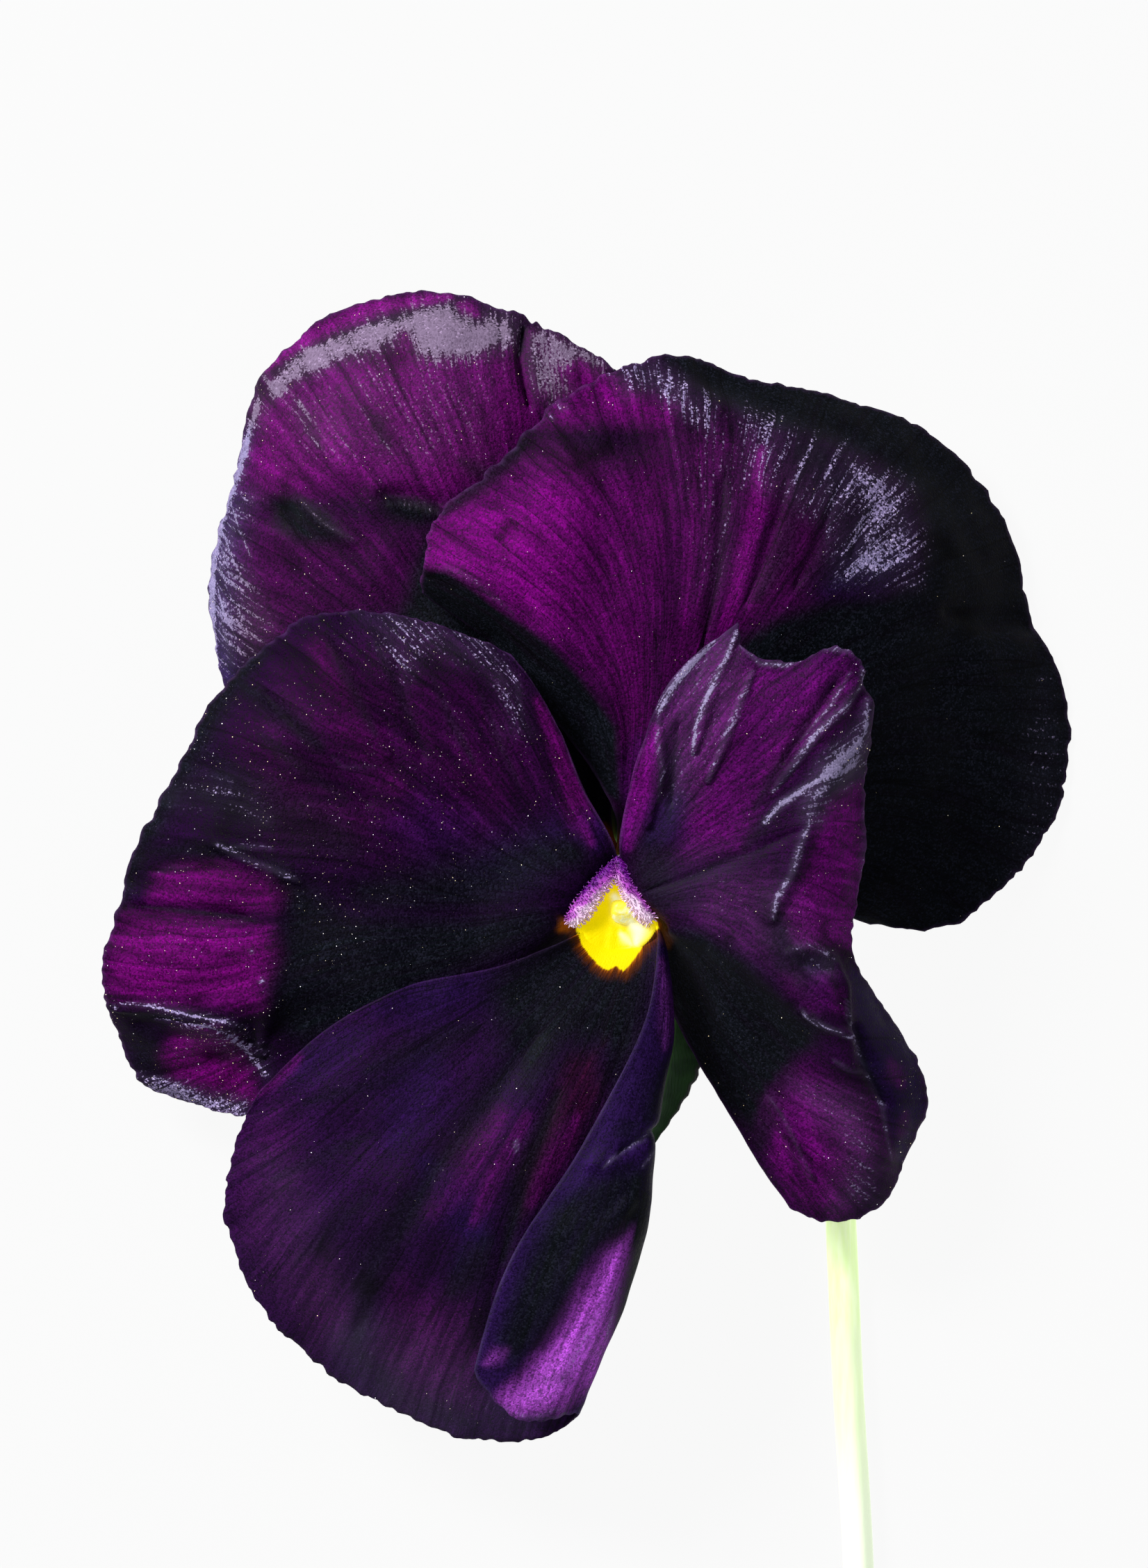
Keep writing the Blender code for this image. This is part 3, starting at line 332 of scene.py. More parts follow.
# %% Creases that lift or sink the blade
CREASES = {
    "petal_upper_left": (
        line(0.6, 0.35, (-20.5, 27.8), (-18.9, 26.4), (-17.0, 25.1)),
        line(1.0, -0.5, (-22.0, 27.6), (-21.2, 26.0)),
        line(0.5, 0.35, (-14.4, 27.5), (-12.6, 27.3), (-11.0, 26.8)),
        line(0.8, -0.5, (-15.0, 28.2), (-11.4, 27.6)),
        line(1.1, 0.35, (-22.6, 35.4), (-18.0, 37.4), (-13.0, 39.0), (-8.0, 38.6)),
        line(0.5, -0.6, (-5.7, 39.0), (-5.9, 37.2), (-5.4, 34.0)),
        line(0.9, 0.25, (-24.4, 17.0), (-25.0, 22.0), (-24.2, 27.0)),
    ),
    "petal_upper_right": (
        line(0.7, 0.3, (-11.9, 23.2), (-9.7, 22.8), (-7.4, 21.0), (-4.0, 18.6), (-0.6, 14.6), (0.5, 11.0)),
        line(1.6, -0.2, (-7.0, 29.8), (-3.0, 31.2), (3.0, 31.4)),
        line(1.5, 0.35, (5.0, 34.6), (9.0, 32.6), (14.0, 30.6), (18.8, 28.0), (20.0, 23.6)),
        line(0.5, -0.25, (7.2, 29.0), (7.0, 24.0), (6.0, 18.0)),
        line(0.5, -0.25, (11.4, 29.0), (10.4, 25.0), (8.8, 21.0)),
        line(0.5, -0.25, (15.0, 28.6), (13.4, 24.8), (12.0, 22.0)),
        line(0.4, -0.2, (17.2, 27.4), (15.6, 24.0)),
        line(1.0, -0.4, (22.0, 20.5), (28.0, 19.6)),
    ),
    "petal_lateral_left": (
        line(0.35, 0.4, (-32.5, -5.3), (-30.0, -5.4), (-27.0, -6.1), (-23.8, -6.8)),
        line(0.3, 0.3, (-29.8, -6.2), (-26.8, -6.5), (-24.8, -7.2), (-22.6, -8.4)),
        line(0.8, -0.35, (-31.0, -6.4), (-28.0, -7.4)),
        line(0.8, -0.35, (-26.4, -8.4), (-25.0, -8.8)),
        line(0.9, 0.35, (-22.3, 3.6), (-22.0, 0.0), (-22.3, -4.0), (-22.8, -7.4)),
        line(0.6, -0.4, (-31.0, 1.2), (-24.0, 0.6)),
        line(0.4, 0.3, (-26.0, 5.2), (-23.0, 4.0), (-20.4, 2.8)),
        line(0.8, -0.3, (-22.6, 15.0), (-19.6, 11.4), (-16.0, 8.0)),
        line(0.7, 0.2, (-18.6, 18.4), (-16.6, 15.0), (-14.6, 11.0)),
        line(0.8, -0.25, (-14.0, 17.0), (-12.4, 11.0)),
        line(0.5, 0.3, (-31.0, -10.1), (-28.4, -10.6), (-26.6, -11.6)),
    ),
    "petal_lateral_right": (
        line(0.8, 0.4, (16.7, 14.6), (16.2, 12.2), (14.8, 10.2), (13.2, 8.2), (12.7, 6.4), (11.8, 3.4),
            (10.4, 0.4)),
        line(0.5, 0.35, (6.7, 19.0), (4.0, 15.6), (3.0, 13.0), (3.2, 10.0), (2.4, 6.5)),
        line(0.4, 0.3, (8.2, 19.0), (6.6, 15.4), (5.4, 11.4)),
        line(0.35, 0.3, (9.2, 16.6), (7.6, 12.6), (6.3, 9.4)),
        line(0.35, 0.3, (16.3, 16.6), (15.0, 14.0), (13.2, 12.2), (10.8, 9.2)),
        line(0.5, -0.2, (2.4, 2.2), (5.6, 3.3), (9.0, 4.7), (12.2, 6.1)),
        line(0.6, -0.3, (4.4, 13.0), (3.9, 8.0)),
        line(0.6, -0.3, (14.6, 15.6), (11.4, 10.8)),
        line(0.3, 0.3, (11.4, -1.9), (12.9, -1.35), (14.4, -2.1), (15.3, -4.0), (15.3, -6.2)),
        line(0.8, -0.5, (12.4, -2.6), (14.0, -3.0)),
        line(0.3, 0.35, (12.3, -5.6), (15.6, -7.3)),
        line(0.3, 0.3, (14.5, -8.8), (16.8, -9.9)),
        line(0.4, 0.3, (10.4, -11.5), (11.8, -14.0), (13.1, -16.5)),
        line(0.8, 0.3, (4.0, -0.4), (6.6, -0.9), (9.0, -2.4), (11.6, -4.8)),
        line(0.5, -0.5, (15.9, -6.6), (16.6, -9.4), (18.0, -11.6)),
    ),
    "petal_lower": (
        line(1.4, -0.2, (-5.0, -7.4), (-8.5, -12.0), (-11.5, -16.0), (-14.0, -20.6)),
        line(1.1, -0.15, (-3.6, -11.0), (-6.0, -17.0), (-7.2, -22.0)),
        line(1.4, -0.2, (-14.4, -20.0), (-16.4, -26.0)),
        line(0.7, -0.35, (0.8, -15.4), (-1.4, -15.6)),
        line(0.35, 0.35, (3.6, -12.8), (2.0, -13.9), (0.4, -14.9)),
        line(0.9, -0.35, (1.0, -18.0), (-2.4, -22.6), (-5.0, -27.0)),
    ),
}

# %% Zones of colour on the two upper petals: painted light, shade and sheen, and their own violet
ZONES = {}
ZONES["petal_upper_left"] = {
    "lit": (
        area(1.8, 0.64, (-24.6, 29.0), (-22.9, 33.5), (-21.9, 35.4), (-16.0, 37.6), (-10.0, 37.6),
            (-6.2, 37.6), (-4.4, 33.8), (-6.0, 31.0), (-9.0, 28.9), (-11.2, 27.6), (-15.0, 28.6),
            (-20.0, 28.6), (-22.6, 28.4)),
        area(2.0, 0.17, (-24.6, 27.8), (-20.0, 27.2), (-12.4, 25.4), (-12.8, 21.4), (-19.0, 19.5),
            (-24.3, 18.5), (-25.2, 22.0)),
        line(0.6, 1.0, (-22.6, 36.5), (-19.5, 38.7), (-15.5, 40.4), (-10.6, 41.1)),
        line(0.5, 0.8, (-10.0, 40.6), (-8.8, 39.9)),
        line(1.2, 0.9, (-13.6, 38.4), (-13.4, 36.2), (-12.6, 33.0)),
        line(0.9, 0.85, (-7.6, 36.8), (-7.0, 33.6)),
        area(0.9, 0.66, (-5.3, 38.6), (-3.4, 38.0), (-0.6, 36.4), (-1.4, 34.8), (-3.8, 33.4), (-5.2, 35.0)),
    ),
    "dark": (
        area(0.7, 0.9, (-22.5, 28.1), (-20.6, 28.0), (-18.6, 26.9), (-17.2, 25.1), (-18.8, 24.9),
            (-20.6, 25.1), (-22.0, 26.0)),
        area(0.6, 0.95, (-15.3, 28.3), (-13.5, 28.0), (-11.5, 27.5), (-11.1, 26.7), (-12.5, 26.2),
            (-14.3, 26.5), (-15.0, 27.1)),
        line(0.7, 0.6, (-9.9, 30.4), (-8.2, 29.4)),
        area(0.5, 0.7, (-16.2, 33.8), (-14.9, 33.2), (-14.2, 31.0), (-15.2, 31.4)),
        line(0.8, 0.5, (-20.6, 34.4), (-19.2, 31.4)),
        area(0.9, 1.0, (-12.6, 24.0), (-11.4, 26.0), (-5.0, 26.0), (3.0, 15.0), (4.0, 5.0), (-2.0, 5.0),
            (-9.0, 12.0), (-14.0, 19.5)),
        line(0.25, 0.8, (-5.75, 39.2), (-5.95, 37.6), (-6.3, 37.2)),
        line(0.4, 0.55, (-5.2, 38.4), (-4.8, 35.2)),
    ),
    "sheen": (
        area(1.3, 1.0, (-22.6, 35.7), (-21.0, 37.1), (-19.2, 38.0), (-17.4, 38.9), (-15.5, 39.7),
            (-14.2, 40.2), (-11.9, 40.7), (-10.4, 40.9), (-9.6, 40.1), (-8.6, 39.6), (-8.0, 40.3),
            (-6.6, 39.8), (-5.9, 38.9), (-6.1, 37.6), (-8.5, 36.9), (-10.1, 36.6), (-11.5, 36.5),
            (-12.8, 37.2), (-13.4, 38.2), (-14.6, 37.6), (-15.8, 37.2), (-17.1, 36.7), (-18.7, 36.2),
            (-20.1, 35.6), (-21.9, 35.1), (-22.7, 34.2), (-23.1, 32.6), (-23.8, 32.6), (-23.6, 34.8)),
        area(0.8, 0.86, (-5.5, 38.9), (-4.5, 39.2), (-3.2, 38.6), (-1.8, 38.0), (0.0, 36.8), (-0.9, 35.9),
            (-2.0, 36.8), (-3.2, 36.2), (-2.4, 34.8), (-4.1, 33.8), (-5.0, 35.0), (-5.5, 37.0)),
        area(0.7, 0.95, (-22.9, 35.3), (-20.6, 37.7), (-17.3, 39.1), (-14.5, 39.8), (-15.0, 37.4),
            (-17.3, 36.9), (-20.4, 35.4), (-22.4, 33.8)),
        line(0.55, 1.0, (-25.9, 16.2), (-26.25, 20.0), (-26.2, 24.0), (-25.5, 27.0), (-24.4, 30.0),
            (-23.7, 32.6), (-23.1, 34.4)),
        area(1.4, 0.68, (-26.4, 15.6), (-26.6, 24.0), (-25.2, 28.6), (-23.6, 28.0), (-24.2, 24.0),
            (-22.4, 20.0), (-22.8, 17.6)),
        area(2.0, 0.34, (-22.4, 34.6), (-16.0, 37.0), (-7.0, 36.8), (-8.0, 31.0), (-13.0, 29.6),
            (-20.4, 30.4)),
        line(0.16, 0.9, (-25.0, 27.7), (-24.4, 26.0), (-23.6, 24.1)),
        line(0.16, 0.9, (-25.5, 25.9), (-24.8, 23.8), (-23.6, 21.8)),
        line(0.16, 0.9, (-25.8, 24.0), (-25.2, 22.0), (-24.1, 20.0)),
        line(0.16, 0.9, (-25.9, 22.4), (-25.4, 20.4), (-24.5, 18.6)),
        line(0.5, 0.6, (-20.4, 34.2), (-19.7, 32.3), (-18.8, 31.1)),
        line(0.14, 0.5, (-20.4, 27.8), (-18.9, 26.3), (-16.6, 25.0)),
        line(0.14, 0.6, (-14.2, 27.6), (-12.5, 27.4), (-11.1, 26.9)),
    ),
    # The violet line along the left edge is partly the petal's own violet, partly painted reflection: it also
    # turns the painted sheen there bluish.
    "violet": (line(1.8, 1.0, (-25.0, 15.6), (-26.2, 19.0), (-26.2, 24.0), (-25.0, 29.0), (-24.0, 32.0)),),
}
ZONES["petal_upper_right"] = {
    "lit": (
        area(2.4, 0.41, (-11.9, 24.0), (-11.0, 26.6), (-8.6, 28.0), (-6.2, 29.4), (-3.0, 29.8), (0.0, 29.6),
            (3.5, 30.4), (4.6, 28.0), (3.4, 22.0), (2.4, 16.0), (1.6, 11.0), (1.2, 9.0), (0.7, 13.4),
            (-1.4, 16.5), (-4.0, 18.9), (-7.4, 21.2), (-9.7, 23.0)),
        area(3.4, 0.88, (-13.0, 23.6), (-11.6, 27.0), (-8.6, 28.4), (-4.0, 29.6), (-1.6, 28.4),
            (-1.4, 24.0), (-2.0, 20.4), (-4.4, 19.2), (-7.4, 20.8), (-10.0, 22.6)),
        area(1.0, 0.55, (-5.2, 32.9), (-2.5, 35.1), (-0.3, 36.2), (2.0, 34.8), (4.4, 33.8), (4.0, 32.4),
            (0.0, 32.8), (-3.0, 32.6)),
        area(2.4, 0.27, (3.0, 34.0), (8.0, 32.0), (12.0, 30.0), (14.0, 26.0), (12.0, 21.0), (8.0, 19.0),
            (5.0, 14.0), (3.6, 11.0), (3.0, 20.0)),
        line(0.8, 0.8, (9.7, 31.0), (9.3, 27.0), (8.2, 22.4), (7.2, 18.6)),
        line(1.0, 0.12, (13.0, 24.6), (11.4, 23.0), (10.0, 21.0)),
        line(0.5, 0.22, (3.2, 21.0), (2.6, 16.0), (2.2, 12.0)),
        line(0.6, 0.5, (5.7, 31.0), (5.3, 26.0), (4.7, 19.6)),
    ),
    "dark": (
        area(0.8, 1.0, (3.4, 36.9), (6.0, 34.7), (8.0, 33.8), (10.5, 32.6), (14.0, 31.6), (17.5, 30.2),
            (19.9, 28.3), (20.6, 25.5), (20.2, 22.4), (18.0, 21.4), (14.0, 21.0), (11.0, 20.0), (8.5, 18.5),
            (9.0, 14.0), (6.0, 5.0), (3.4, 4.6), (3.4, 2.0), (18.0, -1.6), (24.0, -0.6), (31.0, 6.0),
            (31.6, 12.0), (29.6, 20.0), (28.2, 25.0), (24.0, 32.0), (16.0, 37.0), (6.0, 39.4), (3.6, 37.6)),
        area(1.6, 0.36, (10.6, 31.6), (14.0, 31.0), (19.6, 28.0), (20.0, 23.0), (15.0, 21.6), (12.0, 22.0),
            (13.4, 25.0), (11.0, 27.0)),
        line(0.6, 0.45, (7.6, 30.6), (7.2, 25.0), (6.2, 19.4)),
        line(0.9, 0.5, (12.2, 28.4), (11.2, 24.4), (9.6, 21.4)),
        area(0.3, 1.0, (-12.6, 21.3), (-12.3, 23.2), (-10.9, 23.1), (-9.7, 22.5), (-8.5, 21.6),
            (-7.4, 20.7), (-5.8, 19.7), (-4.0, 18.3), (-2.0, 16.1), (-0.6, 14.3), (0.3, 12.9), (0.6, 8.0),
            (-3.0, 10.0), (-8.0, 17.0)),
        area(2.2, 0.24, (-6.2, 30.4), (-5.4, 31.7), (-3.5, 32.2), (1.0, 32.0), (2.0, 30.8), (-1.0, 30.0),
            (-4.0, 30.0)),
        line(0.7, 0.75, (-11.0, 26.9), (-9.0, 28.4), (-7.2, 29.9), (-5.6, 31.5)),
    ),
    "sheen": (
        area(1.2, 0.5, (8.0, 34.0), (12.0, 32.6), (16.0, 31.2), (19.8, 28.8), (20.8, 25.0), (20.2, 22.0),
            (17.0, 21.8), (14.0, 22.6), (14.2, 26.0), (10.8, 28.0), (8.0, 28.6)),
        area(1.2, 0.84, (15.0, 30.8), (18.4, 29.4), (20.0, 26.6), (20.2, 23.4), (17.4, 22.2), (15.0, 23.0),
            (16.2, 26.0)),
        area(0.8, 0.68, (-0.3, 36.0), (1.4, 37.0), (2.9, 36.8), (5.0, 35.6), (6.8, 34.2), (6.8, 31.6),
            (5.0, 32.6), (2.6, 34.6), (0.8, 34.4)),
        area(2.4, 0.24, (4.0, 34.0), (8.0, 33.0), (9.0, 28.0), (8.0, 22.0), (5.6, 22.0)),
        line(0.2, 0.7, (10.2, 32.6), (10.3, 30.8), (9.9, 28.8)),
        line(0.2, 0.7, (15.4, 30.6), (15.6, 28.6), (15.0, 26.0)),
        line(0.28, 0.75, (12.0, 32.2), (12.3, 30.6), (11.9, 28.4)),
        line(0.26, 0.8, (13.3, 31.3), (14.2, 29.4), (14.4, 27.2), (14.1, 25.0)),
        line(0.4, 0.85, (17.0, 29.6), (16.8, 27.6), (15.9, 25.4), (14.9, 23.4)),
        line(0.3, 0.8, (19.4, 27.8), (18.6, 25.4), (17.0, 23.2)),
        line(0.2, 0.5, (-10.9, 23.4), (-9.4, 22.7), (-8.2, 21.8), (-6.4, 20.4)),
        line(0.22, 0.9, (-4.3, 33.4), (-3.7, 33.0)),
        line(0.25, 0.7, (-3.5, 34.0), (-2.9, 33.7)),
        line(1.8, 0.18, (28.4, 16.0), (28.6, 8.0), (26.6, 2.0)),
    ),
    "violet": (line(1.2, 0.5, (1.0, 8.4), (1.7, 12.0)), line(1.8, 0.5, (14.0, 22.0), (18.6, 24.0))),
}

# %% Zones of colour on the two side petals: painted light, shade and sheen, and their own violet
ZONES["petal_lateral_left"] = {
    "lit": (
        area(1.3, 0.68, (-32.7, -1.0), (-31.8, 0.5), (-29.0, 0.6), (-26.0, 0.1), (-22.5, -0.3),
            (-21.8, -2.0), (-22.8, -4.0), (-22.9, -5.2), (-27.0, -4.9), (-31.0, -4.9), (-33.2, -4.2)),
        line(0.9, 0.95, (-32.3, -3.3), (-29.4, -3.6), (-28.4, -3.4)),
        area(1.0, 0.60, (-30.0, 1.7), (-29.6, 3.2), (-28.0, 3.8), (-25.0, 3.7), (-22.6, 3.1), (-21.2, 2.0),
            (-22.1, 0.9), (-24.0, 0.8), (-27.0, 1.2)),
        area(1.0, 0.7, (-29.4, -8.6), (-28.5, -7.1), (-26.0, -7.0), (-24.6, -7.7), (-23.6, -9.6),
            (-23.5, -11.3), (-26.0, -11.0), (-28.8, -9.9)),
        line(0.8, 0.36, (-4.8, 14.6), (-3.5, 11.6), (-2.6, 9.0), (-1.9, 6.6), (-1.3, 5.4)),
        area(2.6, 0.10, (-24.0, 12.6), (-20.0, 17.6), (-12.0, 18.6), (-6.0, 15.0), (-4.0, 10.0),
            (-6.0, 6.0), (-12.0, 4.4), (-22.0, 5.5)),
        line(2.0, 0.22, (-19.0, 18.0), (-17.0, 13.0), (-14.0, 9.0)),
    ),
    "dark": (
        line(1.2, 0.95, (-32.5, 1.2), (-31.6, 4.0), (-30.2, 7.0), (-28.6, 10.0), (-26.9, 13.2),
            (-24.9, 16.0), (-22.9, 18.0)),
        area(1.2, 0.88, (-22.3, 4.2), (-21.3, 1.0), (-21.7, -2.0), (-22.3, -6.0), (-20.0, -8.0),
            (-14.0, -5.0), (-6.0, -1.5), (-3.5, 0.0), (-5.0, 1.0), (-9.0, 0.4), (-17.0, 0.4), (-19.0, 1.8)),
        line(0.8, 0.7, (-24.3, 15.7), (-21.6, 13.8), (-19.0, 11.6)),
        line(0.4, 0.5, (-18.6, 19.0), (-17.0, 15.6), (-15.4, 12.4)),
        line(0.4, 0.45, (-15.4, 18.4), (-13.8, 14.8), (-12.4, 11.6)),
        line(0.36, 0.4, (-11.8, 16.4), (-10.4, 13.2), (-9.0, 10.6)),
        line(0.34, 0.36, (-8.6, 15.4), (-7.2, 11.6), (-6.0, 9.0)),
        line(0.5, 0.45, (-28.2, 9.4), (-25.0, 7.6), (-22.0, 6.2)),
        line(0.5, 0.45, (-22.9, 12.4), (-20.2, 10.2), (-17.4, 8.2)),
        line(0.4, 0.4, (-27.2, 11.6), (-24.4, 10.0), (-21.6, 8.6)),
        line(0.25, 0.7, (-30.5, 1.1), (-26.0, 0.6), (-23.0, 0.2)),
        line(0.5, 0.6, (-30.4, 4.8), (-24.0, 4.9)),
        line(0.35, 0.7, (-32.0, -5.8), (-28.4, -6.1)),
        area(0.7, 0.55, (-32.0, -6.2), (-29.6, -6.8), (-29.6, -8.8), (-29.0, -10.0), (-31.4, -9.8)),
        line(0.7, 0.5, (-25.7, -8.5), (-25.0, -8.8)),
        line(2.2, 0.75, (-2.6, 4.6), (-5.0, 4.4), (-8.0, 3.0), (-12.0, 2.4), (-16.0, 2.0)),
        line(2.0, 0.4, (-25.6, 9.6), (-21.0, 7.0), (-17.0, 5.0)),
    ),
    "sheen": (
        line(0.17, 1.0, (-32.7, -5.4), (-31.5, -5.2), (-29.5, -5.5), (-27.0, -6.1), (-25.0, -6.4),
            (-23.8, -6.75)),
        line(0.15, 0.95, (-29.8, -6.1), (-28.2, -6.4), (-26.8, -6.5), (-25.3, -7.0), (-24.0, -7.6),
            (-22.5, -8.3)),
        line(0.22, 1.0, (-25.3, -7.2), (-24.0, -8.0), (-23.3, -9.0), (-22.5, -9.9)),
        area(0.9, 0.42, (-31.0, -5.2), (-25.0, -6.2), (-22.4, -8.0), (-22.4, -10.0), (-24.0, -9.0),
            (-28.0, -6.8)),
        line(0.2, 0.85, (-31.2, -10.1), (-29.5, -10.2), (-28.0, -10.8), (-26.8, -11.5)),
        line(0.26, 0.85, (-30.4, -10.7), (-28.4, -11.3), (-26.8, -12.1), (-25.2, -12.5), (-24.0, -12.4)),
        area(0.7, 0.8, (-31.0, -9.9), (-28.0, -10.4), (-24.0, -11.6), (-23.6, -12.8), (-27.0, -12.6),
            (-30.4, -11.2)),
        area(1.0, 0.42, (-16.6, 20.5), (-12.5, 20.4), (-8.0, 18.7), (-6.6, 16.4), (-5.2, 12.5),
            (-6.6, 12.6), (-8.0, 16.4), (-11.5, 17.8), (-13.5, 15.4), (-15.2, 18.0)),
        line(0.4, 0.55, (-14.9, 19.6), (-14.2, 17.8), (-13.2, 16.5)),
        line(0.3, 0.7, (-10.4, 19.0), (-8.3, 18.3)),
        line(0.3, 0.5, (-7.0, 17.0), (-6.2, 15.6), (-5.7, 13.0)),
        line(0.2, 0.7, (-25.9, 5.3), (-24.8, 4.7), (-23.0, 3.9), (-21.2, 3.2), (-20.3, 2.8)),
        line(0.2, 0.45, (-24.8, 5.0), (-22.8, 5.1), (-22.0, 4.9)),
        line(1.4, 0.3, (-29.6, 8.6), (-26.0, 8.6), (-22.6, 6.8)),
        line(0.2, 0.4, (-29.7, 3.4), (-28.6, 3.7), (-27.5, 3.6)),
        line(0.25, 1.0, (-23.6, -1.7), (-23.4, -1.8)),
        line(0.25, 1.0, (-22.9, -3.7), (-22.7, -3.7)),
        line(0.12, 0.4, (-18.4, 11.2), (-17.5, 10.3), (-15.2, 10.3)),
    ),
    "violet": (
        area(1.8, 0.6, (-14.6, 6.4), (-12.0, 4.2), (-9.4, 4.4), (-9.0, 7.0), (-12.0, 8.4)),
        line(1.0, 0.9, (-2.0, 7.2), (-1.0, 5.2)),
        line(2.4, 0.4, (-9.0, 3.6), (-4.0, 6.0)),
    ),
}
